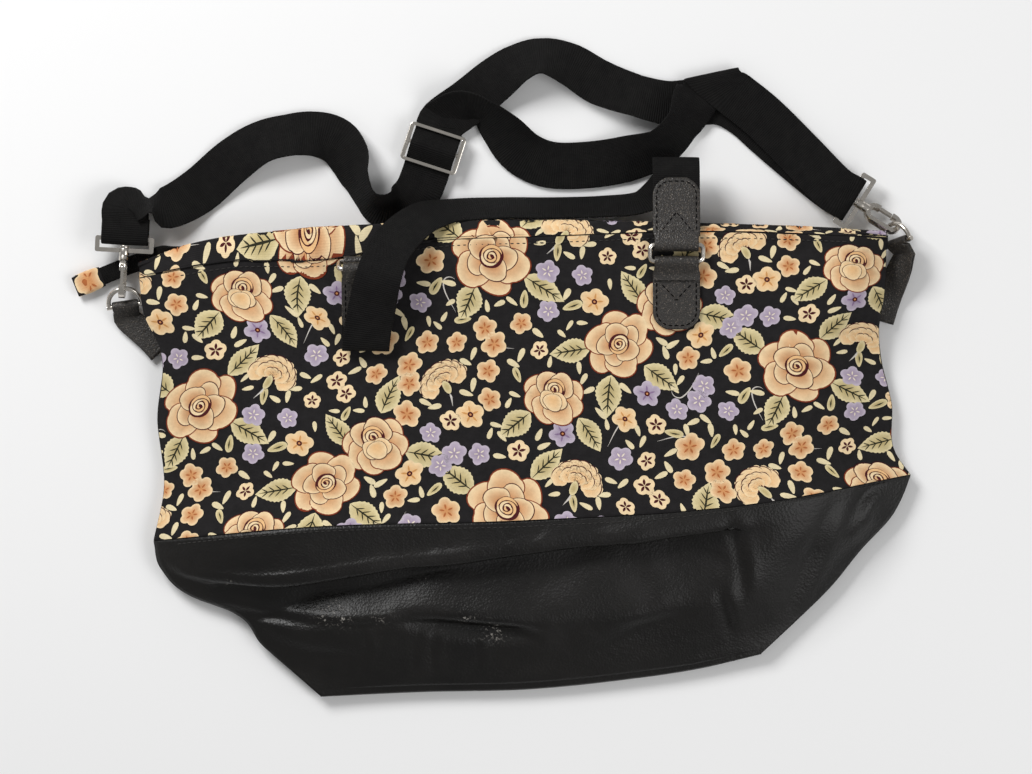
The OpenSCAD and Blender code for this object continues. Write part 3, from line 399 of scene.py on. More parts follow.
# y of the front's top fold and of the rim across the width, x of the two outlines and z of the side seams up it
top_line = curve(TOP_Y, (0, -28), (0.13, -17), (0.25, -16), (0.38, -4), (0.55, 0), (0.75, 3), (1, -1))
rim_line = curve(TOP_Y, (0, -17), (0.07, -5), (0.22, 5), (0.39, 10), (0.68, 10), (0.8, 8.5), (1, 4.5))
canvas_left = curve(-HALF_W, (0, 1), (0.2, 8), (0.44, 4), (0.75, 5), (0.85, -4), (1, -8))
canvas_right = curve(HALF_W, (0, 2), (0.09, -8), (0.31, -11), (0.48, -18), (0.62, -20), (0.75, -17), (1, -15))
side_height = curve(0, (0, HEM_H), (0.5, HEM_H), (0.75, SHOULDER_H), (1, SHOULDER_H))


def canvas_x(u, v):
    """x across a panel at height share v: from its left outline to its right one."""
    return mix(canvas_left(v), canvas_right(v), u)


def front_cloth(u, v):
    """The front: side seams rising to the crown, less soft hollows that stay clear of the sewn tabs."""
    x = canvas_x(u, v)
    y = mix(seam_line(u), top_line(u), v)
    crown = key_line(v, (0, SEAM_H), (0.12, SEAM_H - 5), (0.35, PANEL_H + 2), (0.5, PANEL_H), (1, PANEL_H))
    ramp = key_line(v, (0, 0.2), (0.5, 0.15), (0.75, 0.07), (1, 0.06))
    z = mix(side_height(v), crown, rise(u, ramp))
    open_cloth = soft_step(v / 0.08) * soft_step((1 - v) / 0.06) * rise(u, 0.04)
    for tab_x, tab_y in TAB_PLACES:
        open_cloth = open_cloth * (1 - np.exp(-((x - tab_x) / 26) ** 4 - ((y - tab_y) / 40) ** 4))
    slack = 0.8 + 0.8 * np.sin(x / 37 + y / 29 + 0.6) * np.sin(y / 24 - x / 83)
    creases = creased(np.ravel(x), np.ravel(y), CANVAS_CREASES).reshape(np.shape(x))
    return np.stack([x, y, z + (np.minimum(creases, 0.5) - slack) * open_cloth], -1)


def back_cloth(u, v):
    """The back, v from its rim down to the seam: flat on the table below, lifted over the back handle above."""
    v = 1 - v
    lift = key_line(v, (0, 0), (0.25, 0), (0.33, 0.47 * BACK_LIFT), (0.42, BACK_LIFT), (0.6, BACK_LIFT), (1, BACK_LIFT))
    z = mix(side_height(v) - 2 * CANVAS_T - SEAT, np.clip(lift, 0, BACK_LIFT), rise(u, 0.06))
    return np.stack([canvas_x(u, v), mix(seam_line(u), rim_line(u) - BACK_RIM, v), z], -1)


def canvas_finish(name):
    """Plain-woven cotton: two crossed sets of threads on the flat cloth and uneven slubs over them; returns the
    slubs too."""
    material, shader = plain_finish(name, "#191718", 0.86, specular=0.25)
    for way in ("X", "Y"):
        threads = pattern(shader, "Wave", "UV", bands=way, Scale=340.0, Distortion=1.2, Detail=2.0, Detail_Scale=2.0)
        relief(shader, threads, 0.00025, 0.35)
    slub = pattern(shader, "Noise", "UV", Scale=160.0, Detail=5.0, Roughness=0.65)
    relief(shader, slub, 0.0005, 0.3)
    return material, shader, slub


def shares(columns, rows):
    """Two grids of shares from 0 to 1, the first along the columns and the second along the rows."""
    return np.meshgrid(np.linspace(0, 1, columns), np.linspace(0, 1, rows), indexing="ij")


black_canvas, shader, slub = canvas_finish("black_canvas")
graded(shader, "Base Color", slub, (0.3, "#141213"), (0.7, "#1f1d1e"))

front_grid = front_cloth(*shares(PANEL_COLS, PANEL_ROWS))
front, front_area = cloth_piece("front_canvas", "front_panel", front_grid, black_canvas, CANVAS_T)
back_grid = back_cloth(*shares(PANEL_COLS, PANEL_ROWS))
back, back_area = cloth_piece("back_canvas", "back_panel", back_grid, black_canvas, CANVAS_T)

# Zip facings: two strips of the same canvas, turned in over the rim and down to the sunken zip. At the
# sides they pinch together between the panels.
FACING_T, FACING_ROWS = 1.4, 37
ZIP_Y = TOP_Y - 8.5
ZIP_Z = (PANEL_H + BACK_LIFT) / 2
LIP_GAP = 12.0


def pinched(z, u):
    """Heights drawn to the side seam's own height near the ends."""
    return mix(SHOULDER_H - CANVAS_T - SEAT, z, rise(u, 0.06))


def front_facing(u, w):
    """The front strip at share w from the top fold over the rim to the zip: a smooth section through seven keys."""
    rim, top, lip = rim_line(u) - 3 * soft_step((u - 0.93) / 0.06), top_line(u) + SEAT, ZIP_Z + LIP_GAP / 2
    zip_y = np.minimum(ZIP_Y, rim - 3)
    fold = mix(SHOULDER_H, PANEL_H, rise(u, 0.06))
    keys = [(top, fold), (top + 1, fold), (rim - 2.5, pinched(PANEL_H - 2.3, u)),
            (rim, pinched((PANEL_H - 2.3 + lip + 0.8) / 2, u)), (rim - 2.5, pinched(lip + 0.8, u)),
            (zip_y + 1, pinched(lip, u)), (zip_y, pinched(lip, u))]
    y, z = np.moveaxis(along(stacked(keys), w), -1, 0)
    x = canvas_x(u, np.ones_like(u))
    puckers = 0.5 * np.sin(x / 9) * np.sin(x / 31 + 1) * np.sin(np.pi * w)
    return np.stack([x, y, z - np.abs(puckers)], -1)


def back_facing(u, w):
    """The back strip at share w from the zip over the rim to the back panel: a smooth section through seven keys."""
    rim, lip = rim_line(u), ZIP_Z - LIP_GAP / 2
    zip_y = np.minimum(ZIP_Y, rim - 3)
    low = mix(SHOULDER_H - 2 * CANVAS_T - SEAT, BACK_LIFT, rise(u, 0.06))
    keys = [(zip_y, pinched(lip, u)), (zip_y + 1, pinched(lip, u)), (rim - 2.5, pinched(lip - 0.8, u)),
            (rim, (low + pinched(lip - 0.8, u)) / 2), (rim - 2.5, low + 0.2), (rim - BACK_RIM + SEAT + 1, low),
            (rim - BACK_RIM + SEAT, low)]
    y, z = np.moveaxis(along(stacked(keys), w), -1, 0)
    return np.stack([canvas_x(u, np.ones_like(u)), y, z], -1)


for side, facing in (("front", front_facing), ("back", back_facing)):
    strip, strip_area = cloth_piece(f"{side}_facing_strip", f"{side}_zip_facing",
                                    facing(*shares(PANEL_COLS, FACING_ROWS)), black_canvas, FACING_T)

# Print of the canvas: a common rose chintz on black, in a half-drop repeat of this bag's own. Each motif
# is flat fields of colour laid on the cloth: roses, carnations, blossoms, leaves, leaflets and stems.
PEACH, CREAM, SHADE, DEEP, MAROON = "#efc089", "#f7dcb0", "#d3925c", "#c78450", "#4c1418"
LEAF, LEAF_EDGE, VEIN, LEAFLET, STEM = "#c3b07c", "#e8d9ab", "#2b2a1a", "#ebdbb2", "#d2ccc4"
LILAC, LILAC_EDGE, LINE = "#a796ad", "#c9bdcb", "#86391f"
PRINT_LIFT, LAYER_T, PRINT_EDGE = 0.1, 0.055, 0.4


def joined(parts):
    """Print parts (points, colours, layers, triangles) as one."""
    starts = np.cumsum([0] + [len(p[0]) for p in parts[:-1]])
    points, colours, layers, tris = zip(*parts)
    return (np.concatenate(points), np.concatenate(colours), np.concatenate(layers),
            np.concatenate([t + s for t, s in zip(tris, starts)]))


def field(outline, inner, outer, layer, centre=None):
    """A field of colour: a closed outline, one or two rings inside it and a centre, shaded from inner to outer colour
    by the square of the way out."""
    outline = np.asarray(outline, float)
    k = len(outline)
    mid = outline.mean(0) if centre is None else np.asarray(centre, float)
    rings = (0.35, 0.7, 1.0) if np.ptp(outline) > 9 else (0.6, 1.0)
    a, b = np.array(rgba(inner)), np.array(rgba(outer))
    points = np.concatenate([[mid]] + [mix(mid, outline, s) for s in rings])
    colours = np.concatenate([[a]] + [np.tile(mix(a, b, s * s), (k, 1)) for s in rings])
    i = np.arange(k)
    j = (i + 1) % k
    tris = [np.stack([0 * i, 1 + i, 1 + j], -1)]
    for r in range(1, len(rings)):
        near, far = 1 + k * (r - 1), 1 + k * r
        tris += [np.stack([near + i, far + i, far + j], -1), np.stack([near + i, far + j, near + j], -1)]
    return points, colours, np.full(len(points), float(layer)), np.concatenate(tris)


def stroke(line, width, colour, layer):
    """A brush stroke along a line: widest in the middle, width x sin(pi s)^0.7, and pointed at both ends."""
    line = np.asarray(line, float)
    n = len(line)
    ahead = unit(np.gradient(line, axis=0))
    side = np.stack([-ahead[:, 1], ahead[:, 0]], -1)
    half = width / 2 * np.maximum(np.sin(np.pi * np.linspace(0, 1, n)), 0.04)[:, None] ** 0.7
    i = np.arange(n - 1)
    tris = np.concatenate([np.stack([n + i, n + i + 1, i + 1], -1), np.stack([n + i, i + 1, i], -1)])
    return (np.concatenate([line + side * half, line - side * half]), np.tile(rgba(colour), (2 * n, 1)),
            np.full(2 * n, float(layer)), tris)


def circle(points):
    """Angles of that many points, evenly round a circle."""
    return np.linspace(0, 2 * np.pi, points, endpoint=False)


def polar(radius, angle, centre=(0, 0)):
    """Points at a radius and an angle in radians from a centre."""
    return np.stack([radius * np.cos(angle), radius * np.sin(angle)], -1) + np.asarray(centre)


def turned(points, degrees, size=1.0):
    """Flat points turned about the origin, and scaled."""
    c, s = polar(size, np.radians(degrees))
    return points @ np.array([[c, s], [-s, c]])


def lobes(radius, count, notch, points=40, wobble=0.0):
    """Outline of a flower of round lobes: r (1 - notch + notch |cos(count a / 2)|^0.6), with a slow wobble."""
    a = circle(points)
    r = radius * (1 - notch + notch * np.abs(np.cos(count * a / 2)) ** 0.6)
    return polar(r * (1 + wobble * np.sin(2 * a + 1) + wobble * np.sin(3 * a)), a)


def arc(radius, start, span, points=12, centre=(0, 0), swell=0.0):
    """Points along an arc whose radius swells by that share towards its end."""
    a = np.radians(start + np.linspace(0, span, points))
    return polar(radius * (1 + swell * np.linspace(0, 1, points)), a, centre)


def petals(distance, radius, inner, shadow, places):
    """Broad petals of three soft lobes, their middles at that distance from the flower's middle and at places of
    (angle, layer), shaded from the root to cream and edged by a wider field of the shadow colour."""
    parts = []
    for at, layer in places:
        shape = turned(lobes(radius, 3, 0.09, 30, 0.05) * (0.94, 1.08), at)
        centre = polar(distance, np.radians(at))
        parts += [field(shape * 1.06 + centre * 1.02, shadow, shadow, layer - 0.6, centre * 0.35),
                  field(shape + centre, inner, CREAM, layer, centre * 0.35)]
    return parts


def heart(radius, layer, centre=(0, 0)):
    """The heart of a rose: a maroon disc with pale crescents that wind inwards by the golden angle."""
    parts = [field(lobes(radius, 5, 0.05, 26) + centre, MAROON, MAROON, layer)]
    for k in range(7):
        share = 1 - k / 7.5
        parts.append(stroke(arc(radius * 0.86 * share, 137.5 * k, 165, 16, centre, -0.12),
                            radius * 0.27 * (0.55 + 0.45 * share), CREAM if k % 2 else PEACH, layer + 1))
    return parts


def rose():
    """A full rose: six broad outer petals, five inner ones over them and a wound heart."""
    return joined(
        petals(15.2, 12.4, SHADE, LINE, ((20, 5), (140, 5), (262, 5), (80, 6.2), (204, 6.2), (322, 6.2)))
        + petals(9.0, 8.9, DEEP, MAROON, ((50, 7.4), (196, 7.4), (338, 8.6), (122, 8.6), (268, 9.8))) + heart(8.6, 11))


def open_rose():
    """A rose seen from the side: a spread skirt of petals below, a dark mouth and a cupped petal before it."""
    return joined(
        petals(13.2, 11.4, SHADE, LINE, ((160, 5), (20, 5), (205, 6.2), (335, 6.2), (248, 7.4), (292, 8.6)))
        + petals(10.5, 10.4, DEEP, MAROON, ((118, 9.8), (62, 11))) + heart(9.2, 12, (0, 5.5))
        + petals(5.4, 7.4, PEACH, MAROON, ((228, 14.2), (312, 15.4), (270, 16.6))))


def carnation():
    """A carnation from the side: ruffled petals fanned out of a calyx, with maroon strokes between them."""
    parts = [stroke([(0, -15), (-1, -21), (-4, -27)], 1.5, STEM, 1)]
    calyx = np.array((0, -11))
    for row, (reach, count, spread) in enumerate(((19, 7, 150), (14.5, 5, 105), (9.5, 3, 60))):
        layer = 5 + row * 2
        for k in range(count):
            at = 90 + spread * (k / (count - 1) - 0.5)
            tip = polar(reach * 0.62, np.radians(at), calyx)
            root = np.linspace(0.12, 0.85 - 0.12 * row, 6)[:, None]
            parts += [field(lobes(reach * 0.4, 7, 0.17, 30, 0.05) + tip, PEACH, CREAM, layer, mix(calyx, tip, 0.7)),
                      stroke((0.8, -11) + (tip - calyx) * root, 1.25, MAROON, layer + 1 + (row == 2)),
                      stroke(arc(reach * 0.36, at - 60, 100, 9, tip * (1, 0.97)), 0.7, MAROON, layer + 1)]
    return joined(parts + [field(lobes(3.6, 3, 0.1, 14) * (0.8, 1.5) + (0, -13), LEAF, LEAF_EDGE, 12)])


def blossom(radius, inner, outer, vein, eye, rays, notch=0.32):
    """A five-lobed blossom with a fine vein on each lobe and a plain, ringed or starry eye."""
    parts = [field(lobes(radius, 5, notch, 45, 0.03), inner, outer, 3)]
    for angle in circle(5):
        parts.append(stroke(polar(radius * np.linspace(0.12, rays, 5), angle), radius * 0.13, vein, 4))
        if eye == "star":
            parts.append(stroke(polar(radius * np.linspace(0.05, 0.66, 5), angle), radius * 0.26, vein, 4))
    if eye == "ring":
        for share, points, colour, layer in ((0.2, 10, MAROON, 4.5), (0.08, 8, SHADE, 5)):
            parts.append(field(polar(radius * share, circle(points)), colour, colour, layer))
    return joined(parts)


def leaf():
    """A rose leaf with a toothed edge, half width sin(pi s^0.8), a bold midrib and four pairs of side veins."""
    s = np.linspace(0, 1, 22)
    half = 8.6 * np.sin(np.pi * s ** 0.8) * (1 + 0.1 * (np.arange(22) % 2))
    outline = np.concatenate([np.stack([31 * s, -half], -1), np.stack([31 * s, half], -1)[-2:0:-1]])
    midrib = np.stack([np.linspace(1, 28, 8), np.zeros(8)], -1)
    parts = [field(outline, LEAF, LEAF_EDGE, 1, (12, 0)), stroke(midrib, 1.3, VEIN, 2)]
    t = np.linspace(0, 1, 5)
    for at in (6, 11, 16, 21):
        for side in (-1, 1):
            vein = np.stack([at + 5 * t, side * (4.8 - abs(at - 12) * 0.16) * t ** 1.2], -1)
            parts.append(stroke(vein, 0.95, VEIN, 2))
    return joined(parts)


def leaflet(length, width, lean, points, inner, outer):
    """A small leaf: an ellipse whose width is scaled by 1 - lean cos(a), so that it is fuller at its root."""
    a = circle(points)
    return field(np.stack([length * np.cos(a), width * np.sin(a) * (1 - lean * np.cos(a))], -1), inner, outer, 1)


def veined_leaflet():
    """A leaflet with a midrib and one side vein."""
    return joined([leaflet(6.6, 2.7, 0.3, 16, LEAF, LEAF_EDGE), stroke([(-4, 0), (-1, 0.3), (3, 0.2)], 1.1, VEIN, 2),
                   stroke([(-1, 0.2), (1, 1.1)], 0.7, VEIN, 2)])


def stem():
    """A thin tendril that rises by a quarter sine and curls over at its end."""
    lift = np.stack([np.linspace(0, 20, 10), 9 * np.sin(np.linspace(0, 1.5, 10))], -1)
    return stroke(np.concatenate([lift, arc(4.6, 80, -120, 8, (20, 4.4))]), 0.9, STEM, 0)


MOTIFS = {"rose": rose(), "open_rose": open_rose(), "carnation": carnation(), "leaf": leaf(),
          "leaflet": leaflet(4.6, 1.75, 0.35, 12, LEAFLET, LEAFLET), "veined": veined_leaflet(), "stem": stem(),
          "peach": blossom(9.4, SHADE, CREAM, "#b4693a", "plain", 0.5),
          "eyed": blossom(10, PEACH, CREAM, "#d59a5c", "ring", 0.62),
          "lilac": blossom(8.8, LILAC, LILAC_EDGE, "#efe3d0", "plain", 0.5),
          "lilac_eyed": blossom(9.6, LILAC, LILAC_EDGE, "#8d7596", "ring", 0.6, 0.4),
          "star": blossom(7.4, CREAM, CREAM, MAROON, "star", 0.5, 0.26)}
REPEAT_W, REPEAT_H, SPREAD = 211.0, 178.0, 0.91
# Large motifs of one repeat: kind, place before the spread in millimetres, turn in degrees and size
SET_MOTIFS = (
    ("rose", 54, 134, 10, 1.0), ("rose", 148, 62, 200, 0.88), ("open_rose", 186, 92, 12, 0.92),
    ("open_rose", 96, 24, -14, 0.86), ("carnation", 112, 160, -24, 1.0), ("carnation", 8, 46, 28, 0.95),
    ("leaf", 30, 148, 142, 1.0), ("leaf", 40, 112, 236, 0.95), ("leaf", 78, 118, -38, 1.0),
    ("leaf", 74, 156, 44, 0.95), ("leaf", 126, 60, 186, 0.95), ("leaf", 142, 38, 256, 1.0),
    ("leaf", 168, 44, -40, 0.95), ("leaf", 208, 84, -14, 1.0), ("leaf", 194, 116, 62, 0.95),
    ("leaf", 166, 92, 118, 0.9), ("leaf", 76, 12, 214, 0.95), ("leaf", 112, 6, -62, 0.9),
    ("stem", 132, 178, 30, 1.0), ("stem", 20, 92, 75, 1.0), ("stem", 210, 36, 205, 1.0),
    ("stem", 66, 62, 140, 0.9), ("stem", 170, 180, -20, 1.0), ("eyed", 128, 96, 0, 1.0),
    ("eyed", 212, 66, 30, 1.0), ("lilac_eyed", 168, 22, 12, 1.0), ("lilac_eyed", 98, 190, 40, 1.0),
    ("eyed", 30, 12, 20, 1.0))
# Clusters of blossoms: kind, place before the spread, count and pitch
CLUSTERS = (("peach", 50, 66, 5, 13.5), ("peach", 216, 152, 4, 13.5), ("lilac", 100, 108, 4, 12.5),
            ("lilac", 14, 178, 5, 12.5), ("star", 160, 146, 5, 12.5), ("lilac", 206, 14, 4, 12),
            ("star", 124, 128, 3, 12), ("star", 14, 8, 3, 12))
# Radius that each kind keeps for itself
ROOM = {"rose": 28, "open_rose": 24, "carnation": 17, "leaf": 8, "stem": 2, "leaflet": 4, "veined": 6}
BLOOM_ROOM, CLUSTER_GAP, LEAF_TIP = 10, 3, 13
BLOOM_TRIES, TRIES = 500, 1500
FILLERS = ("peach", "star", "lilac", "star", "eyed")
repeat = [(kind, a * SPREAD, b * SPREAD, at, size) for kind, a, b, at, size in SET_MOTIFS]
taken = np.array([(a, b, ROOM.get(kind, BLOOM_ROOM) * size) for kind, a, b, at, size in repeat]
                 + [(*polar(LEAF_TIP, np.radians(at), (a, b)), 9) for kind, a, b, at, size in repeat if kind == "leaf"])
drops = np.array([(i * REPEAT_W, i * REPEAT_H / 2 + j * REPEAT_H) for i in (-1, 0, 1) for j in (-1, 0, 1)])


def free_room(spot):
    """Distance from a spot to the nearest motif's own room, over the repeat and its neighbours."""
    return (np.linalg.norm(taken[:, None, :2] + drops - spot, axis=-1) - taken[:, 2:]).min()


for kind, a, b, count, pitch in CLUSTERS:
    k = np.arange(count)
    spots = np.array((a, b)) * SPREAD + pitch * np.sqrt(k)[:, None] * polar(1.0, 2.4 * k + a)
    kept = [(n, spot) for n, spot in enumerate(spots) if free_room(spot) > CLUSTER_GAP]
    repeat += [(kind, *spot, 47 * n + a, 1 - 0.05 * n) for n, spot in kept]
    taken = np.array([*taken, *[(*spot, BLOOM_ROOM) for n, spot in kept]])
for k in range(1, TRIES):
    # Spots in the order of the R2 sequence, which spreads evenly
    spot = np.array((k * 0.7548777 % 1 * REPEAT_W, k * 0.5698403 % 1 * REPEAT_H))
    kind, need = ((FILLERS[k % 5], 8.0) if k < BLOOM_TRIES else ("veined", 4.8) if k % 4 == 0 else ("leaflet", 3.3))
    if free_room(spot) > need:
        repeat.append((kind, *spot, k * 67.0 % 360, 0.85 + 0.3 * (k * 0.37 % 1)))
        taken = np.array([*taken, (*spot, need)])

printed_canvas, shader, slub = canvas_finish("printed_canvas")
faded = blended(shader, "MULTIPLY")
faded.inputs["Factor"].default_value = 1.0
link(painted(shader, "ink").outputs["Color"], faded, "A")
graded(faded, "B", slub, (0.3, 0.82), (0.62, 1.0))


def printed(name, surface, width, height, shift, lift=PRINT_LIFT):
    """The print on a surface of flat size width x height: each motif's points go through the cloth's own function
    and stand off by the lift and a little more for each layer; what passes the cut edge is folded back onto it."""
    parts = []
    for i in range(-2, 5):
        for j in range(-4, 4):
            for kind, a, b, at, size in repeat:
                x, y = a + i * REPEAT_W - shift[0], b + i * REPEAT_H / 2 + j * REPEAT_H - shift[1]
                reach = ROOM.get(kind, BLOOM_ROOM) * 1.3
                if -reach < x < width + reach and -reach < y < height + reach:
                    points, *rest = MOTIFS[kind]
                    parts.append((turned(points, at, size) + (x, y), *rest))
    flat, colours, layers, tris = joined(parts)
    corners = flat[tris]
    inside = ((corners > 0) & (corners < (width, height))).all(-1).any(-1)
    flat = np.clip(flat, PRINT_EDGE, np.array((width, height)) - PRINT_EDGE)
    u, v = flat[:, 0] / width, flat[:, 1] / height
    step = 0.004
    du = surface(np.clip(u + step, 0, 1), v) - surface(np.clip(u - step, 0, 1), v)
    dv = surface(u, np.clip(v + step, 0, 1)) - surface(u, np.clip(v - step, 0, 1))
    points = surface(u, v) + unit(np.cross(du, dv)) * (lift + LAYER_T * layers)[:, None]
    piece = mesh_piece(name, points, tris[inside].tolist(), flat, printed_canvas)
    ink = piece.data.attributes.new("ink", "FLOAT_COLOR", "POINT")
    ink.data.foreach_set("color", colours.astype(np.float32).ravel())


printed("front_print", front_cloth, 515.0, 200.0, (18.0, 24.0))
printed("back_print", back_cloth, 515.0, 205.0, (120.0, 60.0))
for side, facing, shift in (("front", front_facing, (18.0, 224.0)), ("back", back_facing, (70.0, 10.0))):
    facing_way = grid_spans(facing(*shares(PANEL_COLS, FACING_ROWS)))[0, :, 1]

    def by_length(u, v):
        """The facing with v as a share of its cloth's length."""
        return facing(u, np.interp(v, facing_way / facing_way[-1], np.linspace(0, 1, FACING_ROWS)))
    printed(f"{side}_facing_print", by_length, 510.0, facing_way[-1], shift)

# Topstitching: black thread in straight rows, on the leather just below the seam and on the canvas just
# below its top fold.
THREAD_D, STITCH, STITCH_PITCH, SEAM_STITCH = 0.9, 3.2, 4.0, 4.0
STITCH_SHAPE = np.array((0.35, 0.9, 1, 0.9, 0.35))
STITCH_SIDES = 6


def thread_finish(name, colour, roughness, specular, dark, pale):
    """Twisted thread: diagonal waves that raise it, with painted shade in their grooves and a painted highlight on
    their ridges.
    """
    material, shader = plain_finish(name, colour, roughness, specular=specular)
    twist = pattern(shader, "Wave", "Object", Scale=420.0, Distortion=2.0)
    relief(shader, twist, 0.0002, 0.5)
    # painted shade and highlight: the colour follows the twist's relief, dark in the grooves and pale on the ridges
    graded(shader, "Base Color", twist, (0.2, dark), (0.8, pale))
    return material


def tubes(rings, sides, count=1, start=0):
    """Faces of tubes of rings x sides points that follow each other: quads round each, and its two end faces."""
    size = rings * sides
    starts = start + size * np.arange(count)[:, None, None]
    ends = np.array([range(sides), range(size - 1, size - sides - 1, -1)])
    return ((np.array(grid_faces(rings, sides, True)) + starts).reshape(-1, 4).tolist()
            + (ends + starts).reshape(-1, sides).tolist())


def way_along(line):
    """Length along a line of points, up to each of them."""
    return np.r_[0, np.linalg.norm(np.diff(line, axis=0), axis=1).cumsum()]


def stitches(name, lines, yarn):
    """Stitches along lines of (points, up): at each pitch a six-sided spindle, thick in the middle and sunk by the
    cube of the way to its ends, lying along the line."""
    all_points, all_faces, start = [], [], 0
    s = np.linspace(-1, 1, len(STITCH_SHAPE))
    ring = -circle(STITCH_SIDES)
    thick = THREAD_D / 2 * STITCH_SHAPE[:, None]
    sink = -0.35 * THREAD_D * np.abs(s[:, None]) ** 3
    for line, up in lines:
        line = np.asarray(line, float)
        up = np.broadcast_to(np.asarray(up, float), line.shape)
        way = way_along(line)
        count = max(1, int(way[-1] / STITCH_PITCH))
        mids = (np.arange(count) + 0.5) * way[-1] / count

        def at(places, values):
            """Values at places along the line, by straight interpolation."""
            return np.stack([np.interp(places, way, values[:, k]) for k in range(3)], -1)
        ahead = unit(at(mids + 0.5, line) - at(mids - 0.5, line))
        above = at(mids, up)
        side = unit(np.cross(above, ahead))
        points = (at(mids, line)[:, None, None] + ahead[:, None, None] * (s * STITCH / 2)[None, :, None, None]
                  + above[:, None, None] * (sink + thick * np.sin(ring))[None, :, :, None]
                  + side[:, None, None] * (thick * np.cos(ring))[None, :, :, None])
        all_points.append(points.reshape(-1, 3))
        all_faces += tubes(len(s), STITCH_SIDES, count, start)
        start += len(all_points[-1])
    points = np.concatenate(all_points)
    mesh_piece(name, points, all_faces, points[:, :2], yarn)


# the last two colours are painted shade in the twist's grooves and a painted highlight on its ridges
thread = thread_finish("black_thread", "#24211f", 0.6, 0.5, "#141211", "#2a2724")
base_normals, panel_normals = grid_normals(base_grid), grid_normals(front_grid)
stitch_u = np.linspace(0.03, 0.97, 150)
bays = leather_keys(stitch_u).shape[-2] - 1
last_bay = np.maximum(0.02, fold_depth(stitch_u) + FOLD[-1][0]) * (seam_line(stitch_u) - bottom_line(stitch_u))
row = (BASE_ROWS - 1) * (1 - np.minimum(0.9, SEAM_STITCH / last_bay) / bays)
column, low_row = np.round((BASE_COLS - 1) * stitch_u).astype(int), np.floor(row).astype(int)
seam_points = mix(base_grid[column, low_row], base_grid[column, low_row + 1], (row % 1)[:, None])
seam_up = base_normals[column, low_row]
stitches("seam_stitches", [(seam_points + 0.15 * seam_up, seam_up)], thread)
top_points, top_up = front_grid[10:-10, PANEL_ROWS - 3], panel_normals[10:-10, PANEL_ROWS - 3]
stitches("top_stitches", [(top_points + 0.2 * top_up, top_up)], thread)

# Zip: two woven tapes sewn behind the lips, each with a nylon coil along its edge. They mesh up to the
# slider and gape beyond it. The slider and its pull are nickel-plated castings.
ZIP_FROM, ZIP_TO, SLIDER_X = -HALF_W + 32, HALF_W - 48, 126.0
MOUTH_FROM, MOUTH_HALF = SLIDER_X + 9, 3.0
COIL_PITCH, COIL_Y, COIL_Z, COIL_RINGS, COIL_SIDES = 1.5, ZIP_Y - SEAT + 2.1, 1.6, 6, 5
nickel, shader = plain_finish("nickel_plate", (0.66, 0.62, 0.57), 0.24, metallic=1.0)
cloud = pattern(shader, "Noise", "Object", Scale=90.0, Detail=6.0, Roughness=0.65)
graded(shader, "Roughness", cloud, (0.35, 0.16), (0.7, 0.36))
graded(shader, "Base Color", cloud, (0.3, (0.70, 0.66, 0.60)), (0.75, (0.56, 0.52, 0.47)))
relief(shader, pattern(shader, "Noise", "Object", Scale=900.0, Detail=2.0), 0.00008, 0.25)

zip_weave, shader = plain_finish("zip_weave", "#121112", 0.8, specular=0.3)
for way in ("X", "Z"):
    rows = pattern(shader, "Wave", "Object", bands=way, Scale=300.0, Distortion=0.6)
    relief(shader, rows, 0.0002, 0.4)
# painted shade and highlight: the colour follows the rows' relief, darker in their grooves and paler on their ridges
graded(shader, "Base Color", rows, (0.2, "#0e0d0e"), (0.8, "#191819"))


def finished_node(name, material, bevel=0.0):
    """Gives a CAD node its finish, and where bevel is set welds it and rounds its edges by that many millimetres."""
    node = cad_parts[name]
    for one in node.material_slots:
        one.material = material
    if bevel:
        weld = node.modifiers.new("weld", "WELD")
        weld.merge_threshold = 0.00001
        edge = node.modifiers.new("edge", "BEVEL")
        edge.width = bevel * MM
        edge.segments = 2
        edge.limit_method = "ANGLE"
        edge.angle_limit = np.radians(40)


for name in ("zip_tape_front", "zip_tape_back"):
    finished_node(name, zip_weave)
for name in ("zip_slider", "zip_pull"):
    finished_node(name, nickel, 0.3)
coil_x = np.arange(ZIP_FROM + 1, ZIP_TO - 1, COIL_PITCH)
gape = MOUTH_HALF * np.sin(np.pi * np.clip((coil_x - MOUTH_FROM) / (ZIP_TO - MOUTH_FROM), 0, 1))
bend, bead = np.meshgrid(np.linspace(0, np.pi, COIL_RINGS), circle(COIL_SIDES), indexing="ij")
coil_points = []
for side in (-1, 1):
    round_bead = np.sin(-side * bead)
    loop = np.stack([0.45 * np.cos(bead), 0.5 + (0.9 + 0.4 * round_bead) * np.sin(bend),
                     -side * (1.0 + 0.4 * round_bead) * np.cos(bend)], -1)
    mid = np.stack([coil_x, 0 * coil_x + COIL_Y, ZIP_Z + side * (COIL_Z + gape)], -1)
    coil_points.append((mid[:, None, None] + loop[None]).reshape(-1, 3))
coil_points = np.concatenate(coil_points)
mesh_piece("zip_coils", coil_points, tubes(COIL_RINGS, COIL_SIDES, 2 * len(coil_x)), coil_points[:, :2], zip_weave)

# Webbing strip, the shape of the zip's tail, the handles and the shoulder strap: a flat woven band that
# is carried along its route, with its two edges rounded.
WEB_W, WEB_T, WEB_SIDES = 32.0, 1.5, 28


